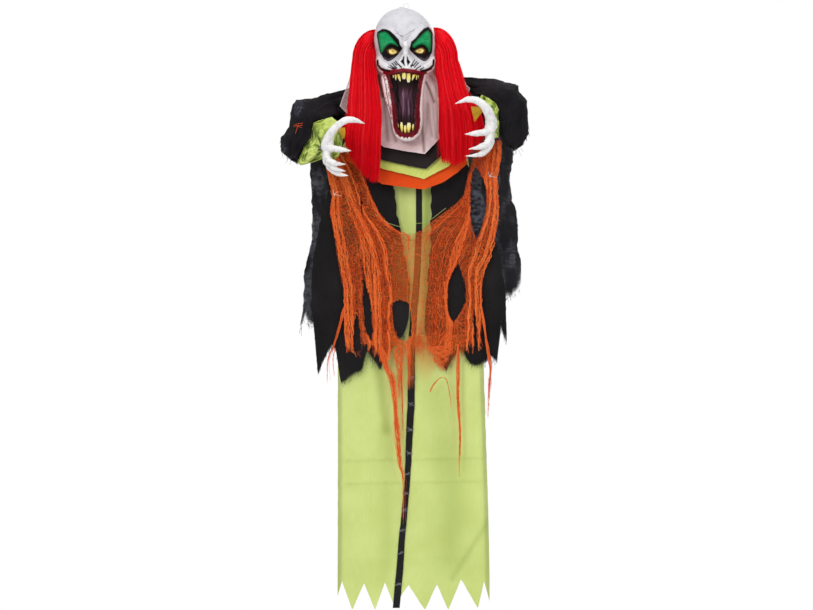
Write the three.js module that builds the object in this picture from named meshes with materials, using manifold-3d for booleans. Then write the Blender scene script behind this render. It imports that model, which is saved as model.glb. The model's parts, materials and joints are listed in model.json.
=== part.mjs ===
// A life-size clown figure that hangs from an eye on its crown: a moulded skull face with a gaping jaw,
// fibre hair, layered collar, black jacket, orange net, lime robe and two posable arms with claw hands.
// Millimetres. +Z is up, the face looks along -Y, and the origin is the inner top of the hanging eye.
import * as THREE from "three";
import { mergeVertices } from "three/addons/utils/BufferGeometryUtils.js";
import Module from "manifold-3d";

const wasm = await Module();
wasm.setup();

// The whole figure
const FIGURE_HEIGHT = 1842; // inner top of the eye to the lowest hem point
const FIGURE_WIDTH = 757; // elbow to elbow
const CLEARANCE = 0.3; // between pieces that touch
const OVERRUN = 40; // how far a cutting solid runs past what it cuts

// Hanging eye and its fastening
const EYE_BORE = 6; // inner radius
const EYE_STOCK = 2; // radius of the ring's round section
const EYE_COLLAR_RADIUS = 6;
const EYE_COLLAR_HEIGHT = 2;
const SHANK_RADIUS = 3;
const SHANK_LENGTH = 38;
const CROWN_BOSS_RADIUS = 11;
const CROWN_BOSS_DEPTH = 12;
const WASHER_RADIUS = 10;
const WASHER_THICKNESS = 1.5;
const NUT_RADIUS = 6;
const NUT_HEIGHT = 5;

// Head
const HEAD_WIDTH = 188;
const HEAD_DEPTH = 200;
const HEAD_LENGTH = 396; // crown to the underside of the jaw
const FORWARD_SHARE = 0.1; // of the head's depth, by which it sits in front of the hanging line
const SHELL_WALL = 4;
const EYEBALL_RADIUS = 15;
const GUM_THICKNESS = 6;
const GUM_HEIGHT = 20;
const UPPER_TOOTH_LENGTH = 26;
const LOWER_TOOTH_LENGTH = 25;
const TOOTH_RADIUS = 5;
const LINER_THICKNESS = 1.6;
const LINER_FOLD = 6;

// Neck and shoulders
const POST_RADIUS = 8;
const POST_SOCKET = 50; // length of post inside the head
const NECK_PAD_RADIUS = 36;
const NECK_FORWARD = 14; // the pad's centre is this far in front of the post
const BAND_WIDTH = 20;
const BAND_HEIGHT = 12;
const NECK_LENGTH = 61; // from the nape down to the shoulder bar
const SHOULDER_HALF = 178; // from the middle to each shoulder bend
const BAR_RADIUS = 9;
const TEE_RADIUS = 13;
const TEE_HEIGHT = 25;

// Arms
const UPPER_ARM = 173;
const ELBOW_FORWARD = { left: 82, right: 104 };
const ELBOW_DROP = { left: 75, right: 20 };
const FOREARM = 188;
const WRIST_INWARD = { left: 54, right: 52 };
const WRIST_DROP = { left: 94, right: 82 };
const HAND_TURN = { left: 0, right: 28 }; // degrees that the claws point forward from straight across
const WIRE_RADIUS = 4;
const ELBOW_BALL = 8;
const WRIST_BALL = 7;
const SLEEVE_WALL = 3;
const SLEEVE_HIGH = 44; // half height of the upper sleeve
const SLEEVE_DEEP = 31; // half depth of the upper sleeve
const ELBOW_PUFF = 50; // radius of the puffed elbow
const FORE_SLEEVE_START = 41; // radius inside the elbow
const FORE_SLEEVE_HEM = 74; // radius at the open hem
const FORE_SLEEVE_LENGTH = 118;
const CUFF_WALL = 2.5;
const CUFF_RADIUS = 63;
const CUFF_START = 100;
const CUFF_END = 165;
const CUFF_RUFFLES = 9;
const CUFF_RUFFLE_DEPTH = 4;
const HAND_LENGTH = 190; // from the top of the thumb's arch to the lowest claw
const WRIST_STUB_RADIUS = 9;

// Cloth
const CLOTH = 2.4;
const COLLAR_CLOTH = 1.6;
const RIBBON_THICKNESS = 1.2;
const NET_THICKNESS = 3;
const ROBE_FRONT_Y = -24;
const ROBE_BACK_Y = 32;
const JACKET_FRONT_Y = -38;
const JACKET_BACK_Y = 44;
const TAIL_BACK = 13; // how far the tails' outer edges lie behind the jacket's back
const TAIL_RUN = 25; // across which they reach that far
const YOKE_INNER_HALF = 62;
const YOKE_OUTER_HALF = 161;
const YOKE_DROP = 30;
const ROBE_FOLD = 3;
const JACKET_FOLD = 4;
const COLLAR_KICK = 26; // how far the collar's lower edge stands out in front
const COLLAR_WRAP = 1; // how far its side edges lie back
const KNOT_RADIUS = 4;
const NET_STRAND = 11;
const NET_REST = 3.4; // how far the net's top lies off the jacket's middle surface
const NET_STAND_OFF = 8; // how far the net hangs in front of the jacket

// The cloth outlines are drawn on the front view's grid: across and down from the hanging eye.
const GRID_ORIGIN = { across: 406, down: 4 };
const GRID_COLUMNS = 249;
const GRID_ROWS = 606;
const acrossGrid = (px) => ((px - GRID_ORIGIN.across) * FIGURE_WIDTH) / GRID_COLUMNS;
const downGrid = (py) => ((GRID_ORIGIN.down - py) * FIGURE_HEIGHT) / GRID_ROWS;

const FINISH = {
  mask: { color: 0xe4e4e4, roughness: 0.55, metalness: 0 },
  tooth: { color: 0xe0b428, roughness: 0.35, metalness: 0 },
  eye: { color: 0xd8b040, roughness: 0.2, metalness: 0 },
  foam: { color: 0xcfc8b0, roughness: 0.95, metalness: 0 },
  steel: { color: 0x9a9ca0, roughness: 0.4, metalness: 1 },
  claw: { color: 0xe8e8ea, roughness: 0.45, metalness: 0 },
  hair: { color: 0xd40c18, roughness: 0.6, metalness: 0 },
  white_cloth: { color: 0xd9cfca, roughness: 0.9, metalness: 0 },
  black_cloth: { color: 0x1c1a1c, roughness: 0.9, metalness: 0 },
  lime_cloth: { color: 0xc4d67e, roughness: 0.8, metalness: 0 },
  orange_cloth: { color: 0xe25a26, roughness: 0.8, metalness: 0 },
  net: { color: 0xc8551e, roughness: 0.9, metalness: 0 },
  purple_cloth: { color: 0x3a2030, roughness: 0.85, metalness: 0 },
  ribbon: { color: 0x101012, roughness: 0.5, metalness: 0 },
};

const vec = (x, y, z) => new THREE.Vector3(x, y, z);
const { lerp, clamp, degToRad } = THREE.MathUtils;
const smooth = (t) => t * t * (3 - 2 * t);

// Closed meshes

// A closed surface from its corners and triangles, turned so that its faces point out.
function closedGeometry(corners, triangles) {
  const volume = triangles.reduce(
    (sum, [a, b, c]) => sum + corners[a].dot(corners[b].clone().cross(corners[c])),
    0,
  );
  const turned = volume < 0 ? triangles.map(([a, b, c]) => [a, c, b]) : triangles;
  const geometry = new THREE.BufferGeometry();
  const positions = corners.flatMap((corner) => corner.toArray());
  geometry.setAttribute("position", new THREE.Float32BufferAttribute(positions, 3));
  return geometry.setIndex(turned.flat());
}

// A solid through rings of equal count, with a flat or pointed end at each end.
function loft(rings) {
  const count = rings[0].length;
  const corners = rings.flat();
  const triangles = [];
  for (let r = 0; r + 1 < rings.length; r += 1) {
    for (let i = 0; i < count; i += 1) {
      const next = (i + 1) % count;
      const [a, b] = [r * count + i, r * count + next];
      triangles.push([a, b, a + count], [b, b + count, a + count]);
    }
  }
  for (const end of [0, rings.length - 1]) {
    const middle = rings[end].reduce((sum, p) => sum.add(p), vec(0, 0, 0));
    const centre = corners.push(middle.divideScalar(count)) - 1;
    for (let i = 0; i < count; i += 1) {
      const [a, b] = [end * count + i, end * count + ((i + 1) % count)];
      triangles.push(end === 0 ? [b, a, centre] : [a, b, centre]);
    }
  }
  return closedGeometry(corners, triangles);
}

// A sheet of cells, each there or missing, with a thickness towards the back.
function sheet({ columns, rows, place, thickness, present = () => true }) {
  const corners = [];
  const index = new Map();
  const corner = (i, j, back) => {
    const key = `${i},${j},${back}`;
    if (!index.has(key)) {
      const p = place(i, j);
      index.set(key, corners.push(back ? p.clone().add(vec(0, thickness, 0)) : p) - 1);
    }
    return index.get(key);
  };
  const triangles = [];
  const quad = (a, b, c, d) => triangles.push([a, b, c], [a, c, d]);
  const there = (i, j) =>
    i >= 0 && j >= 0 && i < columns && j < rows && present(i, j);
  for (let i = 0; i < columns; i += 1) {
    for (let j = 0; j < rows; j += 1) {
      if (!there(i, j)) continue;
      const front = [[i, j], [i, j + 1], [i + 1, j + 1], [i + 1, j]];
      quad(...front.map(([a, b]) => corner(a, b, false)));
      quad(...front.toReversed().map(([a, b]) => corner(a, b, true)));
      const sides = [[i - 1, j], [i, j + 1], [i + 1, j], [i, j - 1]];
      sides.forEach(([a, b], k) => {
        if (there(a, b)) return;
        const [p, q] = [front[k], front[(k + 1) % front.length]];
        quad(corner(...q, false), corner(...p, false), corner(...p, true), corner(...q, true));
      });
    }
  }
  return closedGeometry(corners, triangles);
}

// Joining and cutting

function solidOf(geometry) {
  const bare = geometry.clone();
  bare.deleteAttribute("normal");
  bare.deleteAttribute("uv");
  const merged = mergeVertices(bare, 1e-4);
  return new wasm.Manifold(
    new wasm.Mesh({
      numProp: 3,
      vertProperties: new Float32Array(merged.attributes.position.array),
      triVerts: new Uint32Array(merged.index.array),
    }),
  );
}

function geometryOf(solid) {
  const { vertProperties, triVerts } = solid.getMesh();
  const geometry = new THREE.BufferGeometry();
  geometry.setAttribute("position", new THREE.Float32BufferAttribute(vertProperties, 3));
  return geometry.setIndex([...triVerts]);
}

const joined = (...pieces) =>
  geometryOf(pieces.map(solidOf).reduce((all, piece) => all.add(piece)));
const cut = (body, ...cutters) =>
  geometryOf(cutters.map(solidOf).reduce((left, cutter) => left.subtract(cutter), solidOf(body)));
const common = (body, ...others) =>
  geometryOf(others.map(solidOf).reduce((left, other) => left.intersect(other), solidOf(body)));

// Simple solids

const SIDES = 16;

function rod(radius, from, to, sides = SIDES) {
  const axis = to.clone().sub(from);
  const geometry = new THREE.CylinderGeometry(radius, radius, axis.length(), sides);
  geometry.applyQuaternion(
    new THREE.Quaternion().setFromUnitVectors(vec(0, 1, 0), axis.clone().normalize()),
  );
  return geometry.translate(...from.clone().add(to).multiplyScalar(0.5).toArray());
}

function ball(radius, centre, sides = SIDES) {
  return new THREE.SphereGeometry(radius, sides, sides / 2).translate(...centre.toArray());
}

function block(low, high) {
  const size = high.clone().sub(low);
  const middle = low.clone().add(high).multiplyScalar(0.5);
  return new THREE.BoxGeometry(size.x, size.y, size.z).translate(...middle.toArray());
}

// A tapered limb along a smooth path, such as a finger, a tooth or a lock of hair.
function limb(points, wide, deep, { steps, sides, up }) {
  const curve = new THREE.CatmullRomCurve3(points, false, "centripetal");
  const along = (values, t) => {
    const at = t * (values.length - 1);
    const low = Math.min(Math.floor(at), values.length - 2);
    return lerp(values[low], values[low + 1], at - low);
  };
  const rings = [];
  for (let s = 0; s <= steps; s += 1) {
    const t = s / steps;
    const centre = curve.getPoint(t);
    const tangent = curve.getTangent(t);
    const side = tangent.clone().cross(up).normalize();
    const out = side.clone().cross(tangent).normalize();
    rings.push(
      Array.from({ length: sides }, (_, i) => {
        const turn = (2 * Math.PI * i) / sides;
        return centre
          .clone()
          .addScaledVector(side, along(wide, t) * Math.cos(turn))
          .addScaledVector(out, along(deep, t) * Math.sin(turn));
      }),
    );
  }
  return loft(rings);
}

const figure = new THREE.Group();

function part(name, finish, geometry, parent = figure) {
  geometry.computeVertexNormals();
  const material = new THREE.MeshStandardMaterial({ ...FINISH[finish], flatShading: true });
  const mesh = new THREE.Mesh(geometry, material);
  mesh.name = name;
  parent.add(mesh);
  return mesh;
}

// Head form: a dome down to the brow, a table of sections below it and a rounded chin.

const NECK_SIDES = 20;
const CROWN_Z = -(2 * EYE_BORE + EYE_STOCK + EYE_COLLAR_HEIGHT);
const HEAD_FORWARD = FORWARD_SHARE * HEAD_DEPTH;
const DOME_SHARE = 0.27; // of the head's length
const CHIN_SHARE = 0.93;
const DOME_POWER = 2.2;
// Down the head, then the half width, the front and the back, as shares of half the head's width and depth
const FACE_SECTION_SHARES = [
  [0.27, 1.0, 1.08, 1.0],
  [0.35, 0.98, 1.05, 0.96],
  [0.41, 0.94, 1.06, 0.84],
  [0.47, 0.85, 1.12, 0.66],
  [0.5, 0.78, 1.12, 0.52],
  [0.56, 0.73, 1.09, -0.4],
  [0.64, 0.67, 1.05, -0.58],
  [0.72, 0.58, 1.02, -0.58],
  [0.8, 0.5, 1.0, -0.58],
  [0.88, 0.45, 0.98, -0.58],
  [0.93, 0.41, 0.96, -0.58],
  [1.0, 0.36, 0.92, -0.58],
];
const JAW_BACK_SHARE = 0.58;
const JAW_BACK_Y = -HEAD_FORWARD - (JAW_BACK_SHARE * HEAD_DEPTH) / 2;
const headZ = (down) => CROWN_Z - down * HEAD_LENGTH;
const headHalf = HEAD_WIDTH / 2;
const depthHalf = HEAD_DEPTH / 2;
const NAPE_SHARE = 0.5; // where the cranium is open below

// Raised and sunk places of the face: across and down the head, their reach and height, all as shares
const FACE_RELIEF_SHARES = [
  { across: 0.42, down: 0.325, wide: 0.27, tall: 0.045, out: -0.13 },
  { across: 0.4, down: 0.235, wide: 0.3, tall: 0.03, out: 0.05 },
  { across: 0.7, down: 0.395, wide: 0.22, tall: 0.03, out: 0.06 },
  { across: 0.06, down: 0.4, wide: 0.12, tall: 0.04, out: -0.08 },
  { across: 0.0, down: 0.34, wide: 0.08, tall: 0.04, out: 0.05 },
  { across: 0.3, down: 0.475, wide: 0.5, tall: 0.018, out: 0.06 },
];

function relief(x, z) {
  const down = (CROWN_Z - z) / HEAD_LENGTH;
  const across = Math.abs(x) / headHalf;
  return FACE_RELIEF_SHARES.reduce((sum, bump) => {
    const far =
      ((across - bump.across) / bump.wide) ** 2 + ((down - bump.down) / bump.tall) ** 2;
    return sum + bump.out * Math.exp(-far);
  }, 0) * depthHalf;
}

function faceSection(down) {
  const at = FACE_SECTION_SHARES.findIndex(([d]) => d > down);
  const i = clamp(at < 0 ? FACE_SECTION_SHARES.length - 1 : at, 1, FACE_SECTION_SHARES.length - 1);
  const [low, high] = [FACE_SECTION_SHARES[i - 1], FACE_SECTION_SHARES[i]];
  const t = clamp((down - low[0]) / (high[0] - low[0]), 0, 1);
  return [1, 2, 3].map((k) => lerp(low[k], high[k], t));
}

// Half width, front and back of the head at a level, with the surface moved out by grow
function headSection(down, grow) {
  let [half, front, back] = faceSection(clamp(down, DOME_SHARE, 1));
  let round = 1;
  if (down < DOME_SHARE)
    round = (1 - (1 - down / DOME_SHARE) ** DOME_POWER) ** (1 / DOME_POWER);
  if (down > CHIN_SHARE)
    round = Math.sqrt(1 - ((down - CHIN_SHARE) / (1 - CHIN_SHARE)) ** 2);
  const middle = down > CHIN_SHARE ? (front - back) / 2 : 0;
  front = middle + (front - middle) * round;
  back = -middle + (back + middle) * round;
  return {
    half: half * round * headHalf + grow,
    front: front * depthHalf + grow,
    back: back * depthHalf + grow,
  };
}

function headLevel(down, grow) {
  if (down < DOME_SHARE) return headZ(down) + grow * (1 - down / DOME_SHARE);
  if (down > CHIN_SHARE)
    return headZ(down) - (grow * (down - CHIN_SHARE)) / (1 - CHIN_SHARE);
  return headZ(down);
}

function headPoint(turn, down, grow) {
  const { half, front, back } = headSection(down, grow);
  const middle = -HEAD_FORWARD + (back - front) / 2;
  const deep = (front + back) / 2;
  const x = half * Math.sin(turn);
  const z = headLevel(down, grow);
  const facing = clamp(Math.cos(turn) * 2, 0, 1);
  return vec(x, middle - deep * Math.cos(turn) - facing * relief(x, z), z);
}

// The front surface's y at a place on the face
function faceY(x, z, grow) {
  const down = (CROWN_Z - z) / HEAD_LENGTH;
  const turn = Math.asin(clamp(x / headSection(down, grow).half, -1, 1));
  return headPoint(turn, down, grow).y;
}

const HEAD_LEVEL_SHARES = [
  0.004, 0.03, 0.07, 0.14, 0.2, 0.24, 0.27, 0.3, 0.33, 0.36, 0.39, 0.42, 0.45, 0.475, 0.5, 0.56,
  0.64, 0.74, 0.84, 0.93, 0.965, 0.985, 0.997,
];
const HEAD_COLUMNS = 32;
const FRONT_BIAS = 0.45; // brings the columns closer together over the face

function headForm(grow, every = 1) {
  const columns = HEAD_COLUMNS / every;
  const levels = HEAD_LEVEL_SHARES.filter((_, i) => i % every === 0);
  return loft(
    levels.map((down) =>
      Array.from({ length: columns }, (_, i) => {
        const even = (2 * Math.PI * i) / columns;
        return headPoint(even - FRONT_BIAS * Math.sin(even), down, grow);
      }),
    ),
  );
}

const FAR = 2 * FIGURE_WIDTH;
const NAPE_Z = headZ(NAPE_SHARE);
const EYE_SHARES = { across: 0.42, down: 0.318, sunk: 0.55 };
const EYE_SIDES = 12;
const eyeballs = [-1, 1].map((side) => {
  const x = side * EYE_SHARES.across * headHalf;
  const z = headZ(EYE_SHARES.down);
  return { side, centre: vec(x, faceY(x, z, 0) + EYE_SHARES.sunk * EYEBALL_RADIUS, z) };
});
const eyeSockets = eyeballs.map(({ centre }) => ball(EYEBALL_RADIUS + CLEARANCE, centre, EYE_SIDES));

// The mouth's outline down the right side, as shares of half the head's width and of its length
const MOUTH_SHARES = [
  [0, 0.468], [0.3, 0.472], [0.56, 0.492], [0.53, 0.53], [0.46, 0.6], [0.42, 0.68],
  [0.39, 0.78], [0.36, 0.87], [0.3, 0.93], [0.17, 0.965], [0, 0.975],
];

function mouthCutter() {
  const outline = new THREE.Shape();
  const right = MOUTH_SHARES.map(([x, down]) => new THREE.Vector2(x * headHalf, headZ(down)));
  const left = right.slice(1, -1).map((p) => new THREE.Vector2(-p.x, p.y)).toReversed();
  outline.setFromPoints([...right, ...left]);
  const depth = HEAD_DEPTH;
  const cutter = new THREE.ExtrudeGeometry(outline, { depth, bevelEnabled: false, steps: 1 });
  // The outline's height runs along Z and its depth towards the front.
  const toFront = new THREE.Matrix4();
  toFront.set(1, 0, 0, 0, 0, 0, -1, JAW_BACK_Y + OVERRUN, 0, 1, 0, 0, 0, 0, 0, 1);
  return cutter.applyMatrix4(toFront);
}

const NOSTRIL_SHARES = [[0.02, 0.37], [0.13, 0.4], [0.1, 0.425], [0.02, 0.41]];
const NOSTRIL_BACK_SHARE = 0.7;
function noseCutter(side) {
  const outline = NOSTRIL_SHARES.map(([x, down]) => [side * x * headHalf, headZ(down)]);
  const front = outline.map(([x, z]) => vec(x, -HEAD_FORWARD - HEAD_DEPTH, z));
  const back = outline.map(([x, z]) => vec(x, -HEAD_FORWARD - NOSTRIL_BACK_SHARE * depthHalf, z));
  return loft([front, back]);
}

const backOfJaw = block(vec(-FAR, JAW_BACK_Y, -FAR), vec(FAR, FAR, NAPE_Z));
const bossBottom = CROWN_Z - SHELL_WALL - CROWN_BOSS_DEPTH;

const shankEnd = vec(0, 0, CROWN_Z - SHANK_LENGTH - OVERRUN);
const shankHole = rod(SHANK_RADIUS + CLEARANCE, shankEnd, vec(0, 0, OVERRUN));

function skullShell() {
  const walls = cut(headForm(0), headForm(-SHELL_WALL, 2));
  const boss = rod(CROWN_BOSS_RADIUS, vec(0, 0, bossBottom), vec(0, 0, CROWN_Z));
  return cut(
    joined(walls, boss),
    mouthCutter(),
    backOfJaw,
    shankHole,
    ...eyeSockets,
    ...[-1, 1].map(noseCutter),
  );
}

const washerTop = bossBottom - CLEARANCE;
const nutTop = washerTop - WASHER_THICKNESS - CLEARANCE;
const recessBottom = CROWN_Z - SHANK_LENGTH - EYE_STOCK;

const CORE_FRONT_SHARE = 0.72;
function headCore() {
  const inside = headForm(-SHELL_WALL - CLEARANCE, 2);
  const kept = block(
    vec(-FAR, -HEAD_FORWARD - CORE_FRONT_SHARE * depthHalf, NAPE_Z + CLEARANCE),
    vec(FAR, FAR, OVERRUN),
  );
  const recess = rod(CROWN_BOSS_RADIUS + CLEARANCE, vec(0, 0, recessBottom), vec(0, 0, OVERRUN));
  const socketTop = vec(0, 0, NAPE_Z + POST_SOCKET);
  const socket = rod(POST_RADIUS + CLEARANCE, vec(0, 0, NAPE_Z - OVERRUN), socketTop);
  return cut(common(inside, kept), recess, socket, ...eyeSockets);
}

function hangingEye() {
  const ring = new THREE.TorusGeometry(EYE_BORE + EYE_STOCK, EYE_STOCK, SIDES / 2, SIDES + 2);
  ring.rotateX(Math.PI / 2).translate(0, 0, -EYE_BORE);
  const collarTop = CROWN_Z + CLEARANCE + EYE_COLLAR_HEIGHT;
  const collar = rod(EYE_COLLAR_RADIUS, vec(0, 0, CROWN_Z + CLEARANCE), vec(0, 0, collarTop));
  const shank = rod(
    SHANK_RADIUS,
    vec(0, 0, CROWN_Z - SHANK_LENGTH),
    vec(0, 0, CROWN_Z + EYE_COLLAR_HEIGHT),
  );
  return joined(ring, collar, shank);
}

part("hanging_eye", "mask", hangingEye());
part("skull_shell", "mask", skullShell());
part("head_core", "foam", headCore());
part(
  "crown_washer",
  "steel",
  cut(rod(WASHER_RADIUS, vec(0, 0, washerTop - WASHER_THICKNESS), vec(0, 0, washerTop)), shankHole),
);
part(
  "crown_nut",
  "steel",
  cut(rod(NUT_RADIUS, vec(0, 0, nutTop - NUT_HEIGHT), vec(0, 0, nutTop), 6), shankHole),
);
for (const { side, centre } of eyeballs)
  part(side < 0 ? "eyeball_left" : "eyeball_right", "eye", ball(EYEBALL_RADIUS, centre, EYE_SIDES));

// Teeth stand on a gum that follows the inside of the shell.
// Across, radius and length of each tooth, as shares of the mouth's half width, tooth radius and tooth length
const UPPER_TOOTH_SHARES = [
  [-0.78, 0.7, 0.62], [-0.52, 0.9, 0.75], [-0.24, 0.8, 0.6], [0.04, 1.2, 0.78],
  [0.32, 1.1, 1.0], [0.6, 0.9, 0.8], [0.84, 0.6, 0.6],
];
const LOWER_TOOTH_SHARES = [
  [-0.74, 0.7, 0.7], [-0.42, 1.0, 0.95], [-0.12, 0.9, 0.85], [0.18, 1.1, 1.0],
  [0.48, 0.9, 0.9], [0.76, 0.6, 0.6],
];
const MOUTH_HALF_SHARE = 0.36;
const GUM_WIDE_SHARE = 1.25; // of the mouth's half width
const TOOTH_ROOT_SHARE = 0.8; // how deep in the gum a root stands
const TOOTH_NECK_SHARE = 0.8;
const TOOTH_TIP_SHARE = 0.15;
const TOOTH_DEEP_SHARE = 0.38; // of the gum's thickness

function teeth(shares, gumDown, up, length) {
  const behind = -SHELL_WALL - CLEARANCE;
  const gumZ = headZ(gumDown);
  const gumHalf = GUM_WIDE_SHARE * MOUTH_HALF_SHARE * headHalf;
  const slot = block(
    vec(-gumHalf, -FAR, gumZ - GUM_HEIGHT / 2),
    vec(gumHalf, JAW_BACK_Y - GUM_THICKNESS, gumZ + GUM_HEIGHT / 2),
  );
  const gum = common(cut(headForm(behind, 2), headForm(behind - GUM_THICKNESS, 2)), slot);
  const spikes = shares.map(([across, thick, long]) => {
    const x = across * MOUTH_HALF_SHARE * headHalf;
    const tipZ = gumZ + up * (GUM_HEIGHT / 2 + long * length);
    const y = faceY(x, gumZ, behind) + TOOTH_ROOT_SHARE * GUM_THICKNESS;
    const radius = thick * TOOTH_RADIUS;
    const deep = TOOTH_DEEP_SHARE * GUM_THICKNESS;
    return limb(
      [vec(x, y, gumZ), vec(x, y, lerp(gumZ, tipZ, 0.5)), vec(x, y, tipZ)],
      [radius * TOOTH_NECK_SHARE, radius, radius * TOOTH_TIP_SHARE],
      [deep, deep, radius * TOOTH_TIP_SHARE],
      { steps: 4, sides: 6, up: vec(0, 1, 0) },
    );
  });
  return common(joined(gum, ...spikes), headForm(behind, 2));
}

part("upper_teeth", "tooth", teeth(UPPER_TOOTH_SHARES, 0.46, -1, UPPER_TOOTH_LENGTH));
part("lower_teeth", "tooth", teeth(LOWER_TOOTH_SHARES, 0.945, 1, LOWER_TOOTH_LENGTH));

// Purple cloth across the back of the jaw, folded lengthways
const LINER_LEVEL_SHARES = [0.502, 0.56, 0.64, 0.72, 0.8, 0.88, 0.94, 0.97];
const LINER_COLUMNS = 12;
part(
  "mouth_liner",
  "purple_cloth",
  sheet({
    columns: LINER_COLUMNS,
    rows: LINER_LEVEL_SHARES.length - 1,
    thickness: LINER_THICKNESS,
    place: (i, j) => {
      const down = LINER_LEVEL_SHARES[j];
      const u = (2 * i) / LINER_COLUMNS - 1;
      const inMouth = clamp(3 * (1 - Math.abs(u)) - 1, 0, 1);
      const fold = LINER_FOLD * inMouth * (i % 2);
      return vec(
        u * (headSection(down, 0).half - CLEARANCE),
        JAW_BACK_Y + CLEARANCE - fold,
        headZ(down) - CLEARANCE,
      );
    },
  }),
);

// Hair: one lock of fibre on each side of the skull, hanging in front of the collar.
// Each row: down the head, then middle across, half width, middle forward and half depth,
// as shares of the head's length, half width and half depth
const HAIR_SHARES = {
  left: [
    [0.15, 1.1, 0.1, 0, 0.2], [0.23, 1.27, 0.3, 0, 0.5], [0.37, 1.33, 0.4, 0.2, 0.5],
    [0.51, 1.33, 0.48, 0.7, 0.28], [0.6, 1.4, 0.54, 0.9, 0.2], [0.8, 1.5, 0.68, 0.96, 0.14],
    [0.98, 1.42, 0.62, 0.96, 0.14], [1.15, 1.3, 0.5, 0.96, 0.13], [1.29, 1.12, 0.22, 0.96, 0.08],
  ],
  right: [
    [0.14, 1.1, 0.1, 0, 0.2], [0.23, 1.27, 0.3, 0, 0.5], [0.37, 1.33, 0.4, 0.2, 0.5],
    [0.51, 1.42, 0.46, 0.7, 0.28], [0.62, 1.54, 0.48, 0.9, 0.2], [0.8, 1.56, 0.46, 0.96, 0.14],
    [0.96, 1.56, 0.46, 0.96, 0.13], [1.14, 1.62, 0.36, 0.96, 0.08],
  ],
};

function hair(sign, rows) {
  const points = rows.map(([down, across, , forward]) =>
    vec(sign * across * headHalf, -HEAD_FORWARD - forward * depthHalf, headZ(down)),
  );
  const lock = limb(
    points,
    rows.map(([, , wide]) => wide * headHalf),
    rows.map(([, , , , deep]) => deep * depthHalf),
    { steps: 12, sides: 10, up: vec(0, 1, 0) },
  );
  return cut(lock, headForm(CLEARANCE));
}

part("hair_left", "hair", hair(-1, HAIR_SHARES.left));
part("hair_right", "hair", hair(1, HAIR_SHARES.right));

// Neck post, pad and collar band, and the shoulder bar with its tee
const BAR_Z = NAPE_Z - NECK_LENGTH;
const padTop = NAPE_Z - CLEARANCE;
const bandTop = NAPE_Z - BAND_HEIGHT;
const bandBottom = bandTop - BAND_HEIGHT;
const bandRadius = NECK_PAD_RADIUS + CLEARANCE + BAND_WIDTH;

part(
  "neck_post",
  "steel",
  rod(
    POST_RADIUS,
    vec(0, 0, BAR_Z + BAR_RADIUS + CLEARANCE),
    vec(0, 0, NAPE_Z + POST_SOCKET - CLEARANCE),
  ),
);
const neckAxis = (z) => vec(0, -NECK_FORWARD, z);
part(
  "neck_pad",
  "foam",
  cut(
    rod(NECK_PAD_RADIUS, neckAxis(BAR_Z + BAR_RADIUS + TEE_HEIGHT), neckAxis(padTop), NECK_SIDES),
    rod(POST_RADIUS + CLEARANCE, vec(0, 0, BAR_Z), vec(0, 0, 0)),
  ),
);
part(
  "collar_band",
  "white_cloth",
  cut(
    rod(bandRadius, neckAxis(bandBottom), neckAxis(bandTop), NECK_SIDES),
    rod(NECK_PAD_RADIUS + CLEARANCE, neckAxis(BAR_Z), neckAxis(0), NECK_SIDES),
  ),
);
part(
  "shoulder_bar",
  "steel",
  cut(
    joined(
      rod(BAR_RADIUS, vec(-SHOULDER_HALF, 0, BAR_Z), vec(SHOULDER_HALF, 0, BAR_Z), 16),
      ...[-1, 1].map((side) => ball(BAR_RADIUS, vec(side * SHOULDER_HALF, 0, BAR_Z), 10)),
      rod(TEE_RADIUS, vec(0, 0, BAR_Z), vec(0, 0, BAR_Z + BAR_RADIUS + TEE_HEIGHT - CLEARANCE)),
    ),
    rod(POST_RADIUS + CLEARANCE, vec(0, 0, BAR_Z + BAR_RADIUS), vec(0, 0, 0)),
  ),
);

// Collar: four layers, the shortest in front. Each hem runs from side to side on the front grid.
const COLLARS = [
  {
    name: "collar_orange",
    finish: "orange_cloth",
    hem: [[345, 160], [354, 165], [363, 171], [382, 184], [403, 187], [424, 189.5], [444, 182],
      [458, 172], [468, 163]],
  },
  {
    name: "collar_lime",
    finish: "lime_cloth",
    hem: [[342, 146], [352, 153], [362, 160], [383, 169], [404, 174], [424, 179], [449, 166],
      [460, 152], [469, 140]],
  },
  {
    name: "collar_black",
    finish: "black_cloth",
    hem: [[340, 128], [350, 138], [362, 148], [382, 160], [404, 165], [426, 169], [444, 153],
      [458, 138], [468, 122]],
  },
  {
    name: "collar_white",
    finish: "white_cloth",
    hem: [[341, 105], [350, 118], [364, 132], [384, 147], [404, 151], [425, 154], [440, 138],
      [456, 114], [469, 90]],
  },
];
const COLLAR_ROWS = 4;
const COLLAR_TOP_SHARE = 0.9; // of the band's radius
const kickStart = CROWN_Z - HEAD_LENGTH - 2 * SHELL_WALL;
const padFront = -NECK_FORWARD - NECK_PAD_RADIUS - CLEARANCE;
const linerBack = JAW_BACK_Y + CLEARANCE + LINER_THICKNESS;
const COLLAR_SPACING = (padFront - COLLAR_CLOTH - linerBack) / COLLARS.length;

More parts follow.
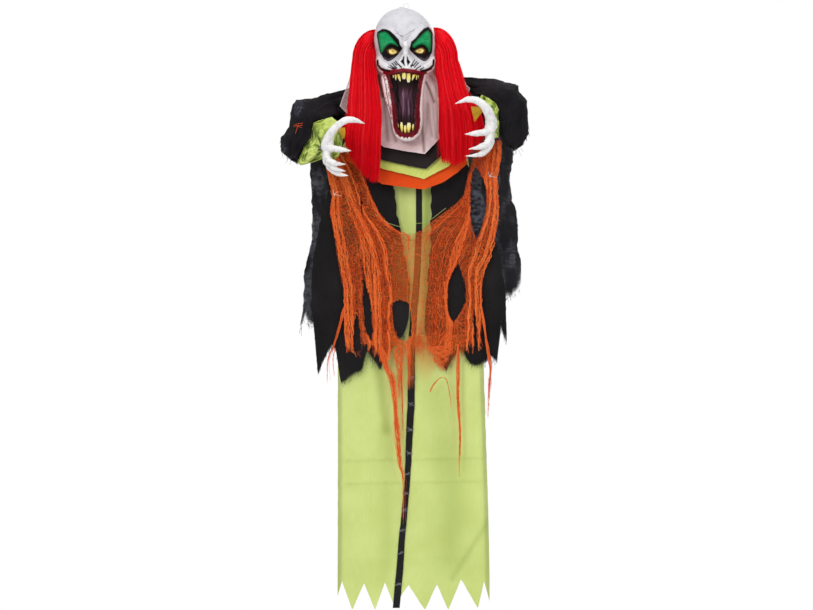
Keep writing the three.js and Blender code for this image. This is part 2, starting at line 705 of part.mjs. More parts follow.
COLLARS.forEach(({ name, finish, hem }, layer) => {
  const top = bandBottom - CLEARANCE;
  const topHalf = COLLAR_TOP_SHARE * bandRadius;
  const hemZ = Math.min(...hem.map(([, py]) => downGrid(py)));
  const kickRun = Math.max(kickStart - hemZ, COLLAR_KICK);
  part(
    name,
    finish,
    sheet({
      columns: hem.length - 1,
      rows: COLLAR_ROWS,
      thickness: COLLAR_CLOTH,
      place: (i, j) => {
        const u = (2 * i) / (hem.length - 1) - 1;
        const t = j / COLLAR_ROWS;
        const x = lerp(u * topHalf, acrossGrid(hem[i][0]), t);
        const z = lerp(top, downGrid(hem[i][1]), t);
        const wrap = COLLAR_WRAP * (x / SHOULDER_HALF) ** 2;
        const kick = COLLAR_KICK * clamp((kickStart - z) / kickRun, 0, 1);
        return vec(x, padFront - COLLAR_CLOTH - layer * COLLAR_SPACING + wrap - kick, z);
      },
    }),
  );
});

// Jacket yokes: the shoulder seams, folded over the bar
const yokeFrontZ = BAR_Z - YOKE_DROP;
const YOKE_ARC_STEPS = 8;
function yokeProfile() {
  const inner = BAR_RADIUS + CLEARANCE;
  const arc = Array.from({ length: YOKE_ARC_STEPS + 1 }, (_, i) => {
    const turn = (Math.PI * i) / YOKE_ARC_STEPS;
    return new THREE.Vector2(-inner * Math.cos(turn), inner * Math.sin(turn));
  });
  const insideLine = [
    new THREE.Vector2(JACKET_FRONT_Y + CLOTH, -YOKE_DROP),
    ...arc,
    new THREE.Vector2(JACKET_BACK_Y, -YOKE_DROP),
  ];
  const outer = inner + CLOTH;
  const outsideArc = arc.map((p) => p.clone().multiplyScalar(outer / inner));
  const outsideLine = [
    new THREE.Vector2(JACKET_FRONT_Y, -YOKE_DROP),
    ...outsideArc,
    new THREE.Vector2(JACKET_BACK_Y + CLOTH, -YOKE_DROP),
  ];
  return [...insideLine, ...outsideLine.toReversed()];
}

const gown = new THREE.Group();
figure.add(gown);
for (const side of [-1, 1]) {
  const profile = yokeProfile();
  const [near, far] = [side * YOKE_INNER_HALF, side * YOKE_OUTER_HALF];
  const outline = new THREE.Shape(profile);
  const depth = Math.abs(far - near);
  const yoke = new THREE.ExtrudeGeometry(outline, { depth, bevelEnabled: false, steps: 1 });
  yoke.applyMatrix4(
    new THREE.Matrix4().set(0, 0, 1, Math.min(near, far), 1, 0, 0, 0, 0, 1, 0, BAR_Z, 0, 0, 0, 1),
  );
  part(side < 0 ? "yoke_left" : "yoke_right", "black_cloth", yoke, gown);
}

// The underside of the yoke at a depth in front of or behind the bar
function underYoke(y) {
  const inner = BAR_RADIUS + CLEARANCE;
  const end = y < 0 ? JACKET_FRONT_Y + CLOTH : JACKET_BACK_Y;
  const t = clamp((Math.abs(y) - inner) / (Math.abs(end) - inner), 0, 1);
  return BAR_Z - t * YOKE_DROP;
}

// A hanging cloth: a hem with its ragged points, straight sides given at a few levels, and soft folds.
function hanging({ hem, sides, topZ, levels, depthAt, thickness }) {
  const [first, last] = [hem[0][0], hem[hem.length - 1][0]];
  const shareOf = hem.map(([px]) => (px - first) / (last - first));
  const sideAt = (py) => {
    const at = sides.findIndex(([level]) => level >= py);
    const i = clamp(at < 0 ? sides.length - 1 : at, 1, sides.length - 1);
    const [low, high] = [sides[i - 1], sides[i]];
    const t = clamp((py - low[0]) / (high[0] - low[0]), 0, 1);
    return [lerp(low[1], high[1], t), lerp(low[2], high[2], t)];
  };
  return sheet({
    columns: hem.length - 1,
    rows: levels.length,
    thickness,
    place: (i, j) => {
      if (j === levels.length) {
        const [x, z] = [acrossGrid(hem[i][0]), downGrid(hem[i][1])];
        return vec(x, depthAt(x, z), z);
      }
      const [left, right] = sideAt(levels[j]);
      const x = acrossGrid(lerp(left, right, shareOf[i]));
      const z = j === 0 ? topZ(x) : downGrid(levels[j]);
      return vec(x, depthAt(x, z), z);
    },
  });
}

// Folds grow from nothing at the shoulders
const fallen = (z) => clamp((BAR_Z - YOKE_DROP - z) / (FIGURE_HEIGHT / 4), 0, 1);
const folds = (x, z, height, pitch) => height * fallen(z) * Math.sin((2 * Math.PI * x) / pitch);
const ROBE_FOLD_PITCH = FIGURE_WIDTH / 5;
const JACKET_FOLD_PITCH = FIGURE_WIDTH / 9;

// Robe
const ROBE_HEM = [
  [337.5, 584], [342, 581], [352, 610], [364, 583], [375, 610], [385, 582], [394, 606],
  [408.5, 585], [425, 610], [437, 584], [448, 610], [461, 579], [478, 608], [484, 581], [491, 597],
];
const ROBE_SIDES = [
  [88, 356, 456], [150, 346, 467], [230, 337.5, 477], [364, 337.5, 483], [610, 337.5, 491],
];
const ROBE_LEVELS = [97, 150, 230, 320, 410, 500, 560];
const NECKLINE_DROP = 62; // below the bar, where the neck pad stands in the way
const robeFrontY = (x, z) => ROBE_FRONT_Y + folds(x, z, ROBE_FOLD, ROBE_FOLD_PITCH);
const neckline = (y) => (x) =>
  Math.abs(x) < YOKE_INNER_HALF ? BAR_Z - NECKLINE_DROP : underYoke(y) - CLEARANCE;

part(
  "robe_front",
  "lime_cloth",
  hanging({
    hem: ROBE_HEM,
    sides: ROBE_SIDES,
    levels: ROBE_LEVELS,
    topZ: neckline(ROBE_FRONT_Y),
    depthAt: robeFrontY,
    thickness: CLOTH,
  }),
  gown,
);
part(
  "robe_back",
  "lime_cloth",
  hanging({
    hem: ROBE_HEM,
    sides: ROBE_SIDES,
    levels: ROBE_LEVELS,
    topZ: neckline(ROBE_BACK_Y + CLOTH),
    depthAt: (x, z) => ROBE_BACK_Y + folds(x, z, ROBE_FOLD, ROBE_FOLD_PITCH),
    thickness: CLOTH,
  }),
  gown,
);

// Jacket
const JACKET_PANELS = [
  {
    name: "jacket_front_left",
    hem: [[313, 318], [318, 376], [332, 348], [341, 385], [362, 372], [368, 352], [380, 370],
      [394, 345], [407, 330]],
    sides: [[98, 352, 385], [160, 350, 388], [187, 334, 391], [231, 322, 397], [270, 316, 402],
      [300, 312, 407]],
    levels: [105, 160, 187, 231, 270, 300],
  },
  {
    name: "jacket_front_right",
    hem: [[424, 330], [436, 352], [446, 372], [461, 350], [471, 365], [484, 364], [497, 363],
      [503, 320], [507, 346]],
    sides: [[98, 427, 460], [160, 430, 462], [187, 431, 480], [231, 431, 492], [270, 430, 500],
      [300, 428, 505]],
    levels: [105, 160, 187, 231, 270, 300],
  },
];
const jacketY = (x, z) => JACKET_FRONT_Y + folds(x, z, JACKET_FOLD, JACKET_FOLD_PITCH);
for (const { name, hem, sides, levels } of JACKET_PANELS) {
  part(
    name,
    "black_cloth",
    hanging({
      hem,
      sides,
      levels,
      topZ: () => yokeFrontZ - CLEARANCE,
      depthAt: jacketY,
      thickness: CLOTH,
    }),
    gown,
  );
}
part(
  "jacket_back",
  "black_cloth",
  hanging({
    hem: [[345, 340], [352, 362], [366, 338], [380, 366], [396, 344], [410, 370], [426, 346],
      [440, 368], [452, 342], [462, 356]],
    sides: [[98, 352, 460], [200, 350, 462], [300, 345, 462]],
    levels: [105, 160, 231, 300],
    topZ: () => yokeFrontZ - CLEARANCE,
    depthAt: (x, z) => JACKET_BACK_Y + folds(x, z, JACKET_FOLD, JACKET_FOLD_PITCH),
    thickness: CLOTH,
  }),
  gown,
);

// Ragged tails sewn behind the jacket's back, which spread out under the arms
const TAILS = [
  {
    name: "jacket_tail_left",
    hem: [[299, 332], [305, 319], [312, 326], [321, 314], [332, 336], [345, 326]],
    sides: [[105, 322, 360], [162, 310, 358], [209, 313, 355], [235, 314, 352], [272, 304, 350],
      [300, 307, 348]],
    levels: [105, 162, 209, 235, 272, 300],
  },
  {
    name: "jacket_tail_right",
    hem: [[462, 326], [478, 342], [492, 330], [506, 346], [508, 300], [522, 290]],
    sides: [[105, 452, 498], [162, 454, 513], [193, 456, 510], [211, 457, 512], [245, 458, 518],
      [280, 460, 517]],
    levels: [105, 162, 193, 211, 245, 270],
  },
];
const TAIL_SEAM = { left: 352, right: 460 };
for (const { name, hem, sides, levels } of TAILS) {
  const side = name.endsWith("left") ? -1 : 1;
  const seamLine = acrossGrid(side < 0 ? TAIL_SEAM.left : TAIL_SEAM.right);
  const seam = (z) => JACKET_BACK_Y + CLOTH + CLEARANCE + JACKET_FOLD * fallen(z);
  part(
    name,
    "black_cloth",
    hanging({
      hem,
      sides,
      levels,
      topZ: () => downGrid(levels[0]),
      depthAt: (x, z) => {
        const out = clamp((side * (x - seamLine)) / TAIL_RUN, 0, 1);
        return seam(z) + TAIL_BACK * smooth(out);
      },
      thickness: CLOTH,
    }),
    gown,
  );
}

// Ribbon down the front of the robe
const RIBBON_LINE = [
  [160, 416, 422], [231, 416, 422], [300, 411.5, 418.5], [341, 408, 415], [387, 408, 415],
  [440, 406, 412.5], [480, 404.5, 410], [537, 399, 405], [570, 396, 403], [608, 393, 400],
];
part(
  "ribbon",
  "ribbon",
  sheet({
    columns: 1,
    rows: RIBBON_LINE.length - 1,
    thickness: RIBBON_THICKNESS,
    place: (i, j) => {
      const [level, left, right] = RIBBON_LINE[j];
      const [x, z] = [acrossGrid(i === 0 ? left : right), downGrid(level)];
      return vec(x, robeFrontY(x, z) - RIBBON_THICKNESS - 2 * CLEARANCE - ROBE_FOLD / 2, z);
    },
  }),
  gown,
);

// Net over the chest: upright strands and cross strands, with torn holes and hanging tails.
// Each strand: where it starts below the collar, and where the net's lower edge crosses it
const NET_STRANDS = [
  [[331, 172], [342, 336]], [[346, 170], [351, 352]], [[357, 170], [360, 345]],
  [[369, 194], [369, 340]], [[381, 217], [382, 352]], [[394, 230], [395, 348]],
  [[406.5, 233], [406, 345]], [[419, 231], [420, 348]], [[432, 222], [432, 350]],
  [[445, 209], [446, 345]], [[458, 197], [458, 349]], [[472, 168], [473, 340]],
  [[488, 166], [487, 338]],
];
const NET_LEVELS = 10;
// Gap column, first and last cross strand that are torn away
const NET_TEARS = [[2, 6, 8], [5, 7, 8], [9, 5, 7], [11, 1, 4], [3, 6, 7]];
const NET_TAILS = new Map([
  [0, [[337, 350], [331, 362], [328, 386]]],
  [5, [[393, 384], [396, 430], [400, 464], [403.5, 500], [403, 541]]],
  [6, [[404, 384], [404, 441]]],
  [8, [[434, 368], [446, 384], [451, 410]]],
  [10, [[458, 396], [460, 433], [459, 478]]],
  [12, [[490, 366], [489, 390], [488, 419]]],
]);
const TAIL_STEPS = Math.max(...[...NET_TAILS.values()].map((tail) => tail.length));
const TAIL_TAPER_SHARE = 0.6;
const NET_ROWS = 2 * NET_LEVELS - 1;
const netBack = JACKET_FRONT_Y - NET_REST - NET_THICKNESS;
const netY = (t) => netBack - NET_STAND_OFF * smooth(clamp(2 * t, 0, 1));

function netPlace(i, j) {
  const strand = NET_STRANDS[Math.floor(i / 2)];
  const edge = (i % 2 === 0 ? -NET_STRAND : NET_STRAND) / 2;
  const [top, bottom] = strand.map(([px, py]) => [acrossGrid(px), downGrid(py)]);
  if (j > NET_ROWS) {
    const tail = NET_TAILS.get(Math.floor(i / 2));
    const [px, py] = tail[j - NET_ROWS - 1];
    const narrow = 1 - TAIL_TAPER_SHARE * ((j - NET_ROWS) / TAIL_STEPS);
    return vec(acrossGrid(px) + edge * narrow, netY(1), downGrid(py));
  }
  const level = Math.floor(j / 2) / (NET_LEVELS - 1);
  const half = (j % 2 === 0 ? NET_STRAND : -NET_STRAND) / 4;
  const x = lerp(top[0], bottom[0], level);
  return vec(x + edge, netY(level), lerp(top[1], bottom[1], level) + half);
}

part(
  "net_front",
  "net",
  sheet({
    columns: 2 * NET_STRANDS.length - 1,
    rows: NET_ROWS + TAIL_STEPS,
    thickness: NET_THICKNESS,
    place: netPlace,
    present: (i, j) => {
      const strand = i / 2;
      if (j >= NET_ROWS)
        return i % 2 === 0 && NET_TAILS.has(strand) && j - NET_ROWS < NET_TAILS.get(strand).length;
      if (i % 2 === 0) return true;
      const torn = NET_TEARS.some(
        ([gap, from, to]) => gap === (i - 1) / 2 && j / 2 >= from && j / 2 <= to,
      );
      return j % 2 === 0 && !torn;
    },
  }),
  gown,
);

const KNOTS = { left: [334.6, 194.5], right: [488, 176] };
for (const [side, [px, py]] of Object.entries(KNOTS)) {
  const strand = NET_STRANDS[side === "left" ? 0 : NET_STRANDS.length - 1];
  const t = (py - strand[0][1]) / (strand[1][1] - strand[0][1]);
  const centre = vec(acrossGrid(px), netY(t) - KNOT_RADIUS - CLEARANCE, downGrid(py));
  part(`net_knot_${side}`, "white_cloth", ball(KNOT_RADIUS, centre, 8), gown);
}

// Claw hand: each path in shares of the hand's length from the wrist, across to the middle, forward and up.
// The last two lists are the finger's radii along the path, in the same shares.
const FINGER_SHARES = [
  {
    path: [[0.06, 0.1, 0.0], [0.09, 0.12, 0.14], [0.17, 0.15, 0.29], [0.31, 0.19, 0.44],
      [0.5, 0.21, 0.48], [0.72, 0.2, 0.4]],
    radius: [0.06, 0.065, 0.055, 0.05, 0.045, 0.007],
  },
  {
    path: [[0.08, 0.1, 0.0], [0.18, 0.18, 0.04], [0.32, 0.26, 0.035], [0.49, 0.28, -0.01]],
    radius: [0.055, 0.052, 0.045, 0.007],
  },
  {
    path: [[0.05, 0.1, -0.05], [0.1, 0.14, -0.16], [0.22, 0.19, -0.22], [0.41, 0.21, -0.225]],
    radius: [0.055, 0.05, 0.042, 0.007],
  },
  {
    path: [[0.03, 0.1, -0.06], [0.06, 0.09, -0.2], [0.2, 0.12, -0.29], [0.4, 0.14, -0.335]],
    radius: [0.055, 0.048, 0.042, 0.007],
  },
  {
    path: [[0.04, 0.1, -0.08], [0.07, 0.06, -0.24], [0.22, 0.05, -0.36], [0.44, 0.06, -0.41]],
    radius: [0.052, 0.045, 0.04, 0.007],
  },
];

// The palm grows from the wrist stub: across, forward and up, then its radius, in the same shares.
const PALM_SHARES = [
  { at: [0.05, 0.1, 0.0], radius: 0.07 },
  { at: [0.07, 0.11, 0.06], radius: 0.06 },
];
const PALM_HEEL_SHARES = { at: [0.055, 0.1, 0.01], radius: 0.082 };

function clawHand(sign, forearmAxis, turn) {
  const place = ([across, forward, up]) =>
    vec(-sign * across, -forward, up)
      .multiplyScalar(HAND_LENGTH)
      .applyAxisAngle(vec(0, 0, 1), sign * degToRad(turn));
  const fingers = FINGER_SHARES.map(({ path, radius }) =>
    limb(
      path.map(place),
      radius.map((r) => r * HAND_LENGTH),
      radius.map((r) => r * HAND_LENGTH),
      { steps: 6, sides: 7, up: vec(0, 1, 0) },
    ),
  );
  const start = forearmAxis.clone().multiplyScalar(WRIST_BALL + CLEARANCE);
  const girth = [WRIST_STUB_RADIUS, ...PALM_SHARES.map(({ radius }) => radius * HAND_LENGTH)];
  const path = [start, ...PALM_SHARES.map(({ at }) => place(at))];
  const stub = limb(path, girth, girth, { steps: 4, sides: 10, up: vec(0, 0, 1) });
  const heel = ball(PALM_HEEL_SHARES.radius * HAND_LENGTH, place(PALM_HEEL_SHARES.at), 12);
  const open = ball(WRIST_BALL + 2 * CLEARANCE, vec(0, 0, 0), 16);
  return cut(joined(stub, heel, ...fingers), open);
}

// Sleeves and cuffs are turned about the arm's own X axis, which runs from the upper bend.
const RING_SIDES = 18;
function turnedRings(profile, ruffle = () => 1) {
  return profile.map(([along, high, deep = high]) =>
    Array.from({ length: RING_SIDES }, (_, i) => {
      const turn = (2 * Math.PI * i) / RING_SIDES;
      const swell = ruffle(turn, along);
      return vec(along, deep * swell * Math.cos(turn), high * swell * Math.sin(turn));
    }),
  );
}

const alongArm = (from, to, radius, sides = 8) => rod(radius, vec(from, 0, 0), vec(to, 0, 0), sides);

// Along the upper arm, then the half height, as shares
const SLEEVE_TOP_SHARE = 0.88;
const UPPER_SLEEVE_SHARES = [[0.3, 1], [0.6, 1.1], [0.9, 1.1]];
function upperSleeve(foreDirection) {
  const start = BAR_RADIUS + CLEARANCE + SLEEVE_WALL;
  const tube = (wall) =>
    loft(
      turnedRings([
        [start + wall, SLEEVE_HIGH * SLEEVE_TOP_SHARE - wall, SLEEVE_DEEP - wall],
        ...UPPER_SLEEVE_SHARES.map(([along, high]) => [
          UPPER_ARM * along,
          SLEEVE_HIGH * high - wall,
          SLEEVE_DEEP - wall,
        ]),
      ]),
    );
  const elbow = vec(UPPER_ARM, 0, 0);
  const outer = joined(tube(0), ball(ELBOW_PUFF, elbow));
  const inner = joined(tube(SLEEVE_WALL), ball(ELBOW_PUFF - SLEEVE_WALL, elbow));
  const reach = ELBOW_PUFF + SLEEVE_WALL;
  const mouthEnd = elbow.clone().addScaledVector(foreDirection, reach);
  const mouth = rod(reach, elbow.clone(), mouthEnd, 24);
  return cut(outer, inner, mouth, alongArm(0, UPPER_ARM, WIRE_RADIUS + CLEARANCE));
}

// Along the forearm's sleeve, then how far it has flared from its start to its hem, as shares
const FORE_SLEEVE_START_SHARE = 0.94;
const FORE_SLEEVE_SHARES = [[0.27, 0], [0.5, 0.45], [0.8, 0.93]];
function foreSleeve() {
  const start = ELBOW_BALL + SLEEVE_WALL;
  const length = FORE_SLEEVE_LENGTH;
  const flare = (wall, end) =>
    loft(
      turnedRings([
        [start + wall, FORE_SLEEVE_START * FORE_SLEEVE_START_SHARE - wall],
        ...FORE_SLEEVE_SHARES.map(([along, flared]) => [
          length * along,
          lerp(FORE_SLEEVE_START, FORE_SLEEVE_HEM, flared) - wall,
        ]),
        [length + end, FORE_SLEEVE_HEM - wall],
      ]),
    );
  return cut(
    flare(0, 0),
    flare(SLEEVE_WALL, SLEEVE_WALL),
    alongArm(0, length, WIRE_RADIUS + CLEARANCE),
  );
}

// Along the cuff, then its radius, as shares
const CUFF_SHARES = [[0, 0.5], [0.12, 0.85], [0.5, 1], [1, 1.02]];
function cuff() {
  const ruffle = (turn, along) => {
    const out = clamp((along - CUFF_START) / (CUFF_END - CUFF_START), 0, 1);
    return 1 + (CUFF_RUFFLE_DEPTH / CUFF_RADIUS) * out * Math.cos(CUFF_RUFFLES * turn);
  };
  const bell = (wall, end) =>
    loft(
      turnedRings(
        CUFF_SHARES.map(([along, wide]) => [
          lerp(CUFF_START + wall, CUFF_END + end, along),
          CUFF_RADIUS * wide - wall,
        ]),
        ruffle,
      ),
    );
  return cut(bell(0, 0), bell(CUFF_WALL, CUFF_WALL), alongArm(0, CUFF_END, WIRE_RADIUS + CLEARANCE));
}

for (const side of ["left", "right"]) {
  const sign = side === "left" ? -1 : 1;
  const outward = Math.sqrt(
    UPPER_ARM ** 2 - ELBOW_FORWARD[side] ** 2 - ELBOW_DROP[side] ** 2,
  );
  const upperAxis = vec(sign * outward, -ELBOW_FORWARD[side], -ELBOW_DROP[side]).normalize();
  const reach = Math.sqrt(FOREARM ** 2 - WRIST_INWARD[side] ** 2 - WRIST_DROP[side] ** 2);
  const foreAxis = vec(-sign * WRIST_INWARD[side], -reach, -WRIST_DROP[side]).normalize();

  const upperArm = new THREE.Group();
  upperArm.position.set(sign * SHOULDER_HALF, 0, BAR_Z);
  upperArm.quaternion.setFromUnitVectors(vec(1, 0, 0), upperAxis);
  figure.add(upperArm);
  const foreInUpper = foreAxis.clone().applyQuaternion(upperArm.quaternion.clone().invert());
  part(
    `upper_wire_${side}`,
    "steel",
    joined(
      alongArm(BAR_RADIUS + CLEARANCE, UPPER_ARM, WIRE_RADIUS),
      ball(ELBOW_BALL, vec(UPPER_ARM, 0, 0), 10),
    ),
    upperArm,
  );
  part(`upper_sleeve_${side}`, "black_cloth", upperSleeve(foreInUpper), upperArm);

  const forearm = new THREE.Group();
  forearm.position.copy(upperArm.position).addScaledVector(upperAxis, UPPER_ARM);
  forearm.quaternion.setFromUnitVectors(vec(1, 0, 0), foreAxis);
  figure.add(forearm);
  part(
    `fore_wire_${side}`,
    "steel",
    joined(
      alongArm(ELBOW_BALL + CLEARANCE, FOREARM, WIRE_RADIUS),
      ball(WRIST_BALL, vec(FOREARM, 0, 0), 10),
    ),
    forearm,
  );
  part(`fore_sleeve_${side}`, "black_cloth", foreSleeve(), forearm);
  part(`cuff_${side}`, "lime_cloth", cuff(), forearm);

  const hand = new THREE.Group();
  hand.position.copy(forearm.position).addScaledVector(foreAxis, FOREARM);
  figure.add(hand);
  part(`hand_${side}`, "claw", clawHand(sign, foreAxis, HAND_TURN[side]), hand);
}

export default figure;
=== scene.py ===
"""Looks of a hanging clown decoration: moulded skull mask, fibre hair, layered collar, gauze jacket,
torn orange net, lime robe and posable arms with claw hands. Metres; +Z is up, the face looks along -Y."""

import json
import math

import bpy
import numpy as np
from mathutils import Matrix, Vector


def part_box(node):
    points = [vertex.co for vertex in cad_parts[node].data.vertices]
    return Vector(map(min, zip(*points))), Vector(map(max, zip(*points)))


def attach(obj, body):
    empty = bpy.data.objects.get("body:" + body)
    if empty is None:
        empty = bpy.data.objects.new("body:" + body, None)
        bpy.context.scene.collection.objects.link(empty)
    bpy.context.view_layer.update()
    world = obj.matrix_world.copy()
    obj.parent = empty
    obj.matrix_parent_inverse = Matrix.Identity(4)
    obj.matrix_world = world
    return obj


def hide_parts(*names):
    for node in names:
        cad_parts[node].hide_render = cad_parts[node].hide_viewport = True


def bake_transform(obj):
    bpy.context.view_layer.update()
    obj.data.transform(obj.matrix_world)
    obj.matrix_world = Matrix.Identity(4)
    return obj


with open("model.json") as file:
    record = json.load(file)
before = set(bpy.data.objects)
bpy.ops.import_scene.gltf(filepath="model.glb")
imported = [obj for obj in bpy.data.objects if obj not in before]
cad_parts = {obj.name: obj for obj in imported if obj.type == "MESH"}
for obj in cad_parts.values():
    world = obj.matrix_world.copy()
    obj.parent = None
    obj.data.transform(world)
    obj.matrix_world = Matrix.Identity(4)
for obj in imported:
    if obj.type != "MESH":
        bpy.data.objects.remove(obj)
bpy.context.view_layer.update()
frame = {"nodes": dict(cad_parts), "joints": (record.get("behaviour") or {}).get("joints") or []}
JOINTS = {joint["name"]: np.array(joint["pos_m"]) for joint in frame["joints"]}

# The front view's grid: one step is CELL wide, and (406, 4) is the hanging eye.
CELL = 0.00304
EYE_ACROSS, EYE_DOWN = 406.0, 4.0
VIEW_ACROSS, VIEW_DOWN = 406.5, 305.0
VIEW_TALL = 610
CAMERA_AWAY = 20.0
LEFT, RIGHT = "left", "right"
SIGN = {LEFT: -1, RIGHT: 1}
FULL_TURN = 2 * math.pi


def across(px):
    return (np.asarray(px, float) - EYE_ACROSS) * CELL


def down(py):
    return (EYE_DOWN - np.asarray(py, float)) * CELL


def seen(px, py, y):
    """The points at depth y that the camera sees at these grid places."""
    px, py, y = np.broadcast_arrays(*(np.asarray(v, float) for v in (px, py, y)))
    near = (CAMERA_AWAY + y) / CAMERA_AWAY
    x = across(VIEW_ACROSS) + (px - VIEW_ACROSS) * CELL * near
    z = down(VIEW_DOWN) - (py - VIEW_DOWN) * CELL * near
    return np.stack([x, y, z], -1)


def on_view(x, y, z):
    """The grid places where the camera sees these points."""
    near = CAMERA_AWAY / (CAMERA_AWAY + y)
    px = VIEW_ACROSS + (EYE_ACROSS + x / CELL - VIEW_ACROSS) * near
    py = VIEW_DOWN + (EYE_DOWN - z / CELL - VIEW_DOWN) * near
    return np.stack(np.broadcast_arrays(px, py), -1)


# Camera, lights and floor


def set_camera():
    data = bpy.data.cameras.new("camera")
    data.sensor_fit = "VERTICAL"
    data.sensor_height = 24.0
    data.lens = data.sensor_height * CAMERA_AWAY / (VIEW_TALL * CELL)
    data.clip_end = 200
    camera = bpy.data.objects.new("camera", data)
    camera.location = (float(across(VIEW_ACROSS)), -CAMERA_AWAY, float(down(VIEW_DOWN)))
    camera.rotation_euler = (math.pi / 2, 0, 0)
    bpy.context.scene.collection.objects.link(camera)
    bpy.context.scene.camera = camera


def area_light(name, place, aim, size, power):
    data = bpy.data.lights.new(name, "AREA")
    data.shape, data.size, data.energy = "DISK", size, power
    lamp = bpy.data.objects.new(name, data)
    lamp.location = place
    direction = Vector(aim) - Vector(place)
    lamp.rotation_euler = direction.to_track_quat("-Z", "Y").to_euler()
    bpy.context.scene.collection.objects.link(lamp)


def set_lights():
    """A white studio: the background is white to the camera and softer as a light."""
    world = bpy.data.worlds.new("studio")
    world.use_nodes = True
    nodes, links = world.node_tree.nodes, world.node_tree.links
    ray = nodes.new("ShaderNodeLightPath")
    strength = nodes.new("ShaderNodeMapRange")
    strength.inputs["To Min"].default_value = 0.52
    strength.inputs["To Max"].default_value = 1.0
    links.new(ray.outputs["Is Camera Ray"], strength.inputs["Value"])
    nodes["Background"].inputs["Color"].default_value = (1, 1, 1, 1)
    links.new(strength.outputs["Result"], nodes["Background"].inputs["Strength"])
    bpy.context.scene.world = world
    area_light("key_light", (-2.6, -4.5, 1.6), (0, 0, -0.7), 2.2, 92)
    area_light("fill_light", (3.2, -4.0, 0.2), (0, 0, -0.8), 2.6, 46)
    area_light("top_light", (0.3, -0.6, 2.8), (0, 0, -0.5), 2.0, 26)
    area_light("back_light", (0.8, 4.6, 0.8), (0, 0, -0.8), 2.6, 60)
    bpy.context.scene.view_settings.view_transform = "Standard"


def set_floor(z, radius):
    """A plain pale round floor under the hem, just below what the camera sees."""
    turn = np.linspace(0, FULL_TURN, 97)[:-1]
    rim = np.stack([radius * np.cos(turn), radius * np.sin(turn), 0 * turn + z], -1)
    mesh = bpy.data.meshes.new("floor")
    mesh.from_pydata(rim.tolist(), [], [list(range(len(rim)))])
    floor = bpy.data.objects.new("floor", mesh)
    bpy.context.scene.collection.objects.link(floor)
    return floor


set_camera()
set_lights()
floor = set_floor(-1.90, 1.2)


# Materials


def shade(red, green, blue):
    """A linear colour from eight-bit values of the screen."""
    linear = [((v / 255 + 0.055) / 1.055) ** 2.4 if v > 10 else v / 255 / 12.92 for v in (red, green, blue)]
    return (*linear, 1.0)


class Wire:
    """A socket whose arithmetic adds Math nodes."""

    def __init__(self, finish, socket):
        self.finish, self.socket = finish, socket

    def math(self, operation, *values):
        return self.finish.add("ShaderNodeMath", {"operation": operation}, dict(enumerate(values)))

    def __add__(self, other):
        return self.math("ADD", self, other)

    def __sub__(self, other):
        return self.math("SUBTRACT", self, other)

    def __rsub__(self, other):
        return self.math("SUBTRACT", other, self)

    def __mul__(self, other):
        return self.math("MULTIPLY", self, other)

    def __gt__(self, other):
        return self.math("GREATER_THAN", self, other)

    __radd__, __rmul__ = __add__, __mul__

    def sine(self):
        return self.math("SINE", self)

    def least(self, other):
        return self.math("MINIMUM", self, other)

    def most(self, other):
        return self.math("MAXIMUM", self, other)

    def between(self, low, high):
        """0 at low and 1 at high, smoothly."""
        settings = {"interpolation_type": "SMOOTHSTEP"}
        return self.finish.add("ShaderNodeMapRange", settings,
                               {"Value": self, "From Min": low, "From Max": high})


def set_stops(ramp, stops):
    while len(ramp.elements) < len(stops):
        ramp.elements.new(1.0)
    for element, (place, colour) in zip(ramp.elements, stops):
        element.position, element.color = place, colour


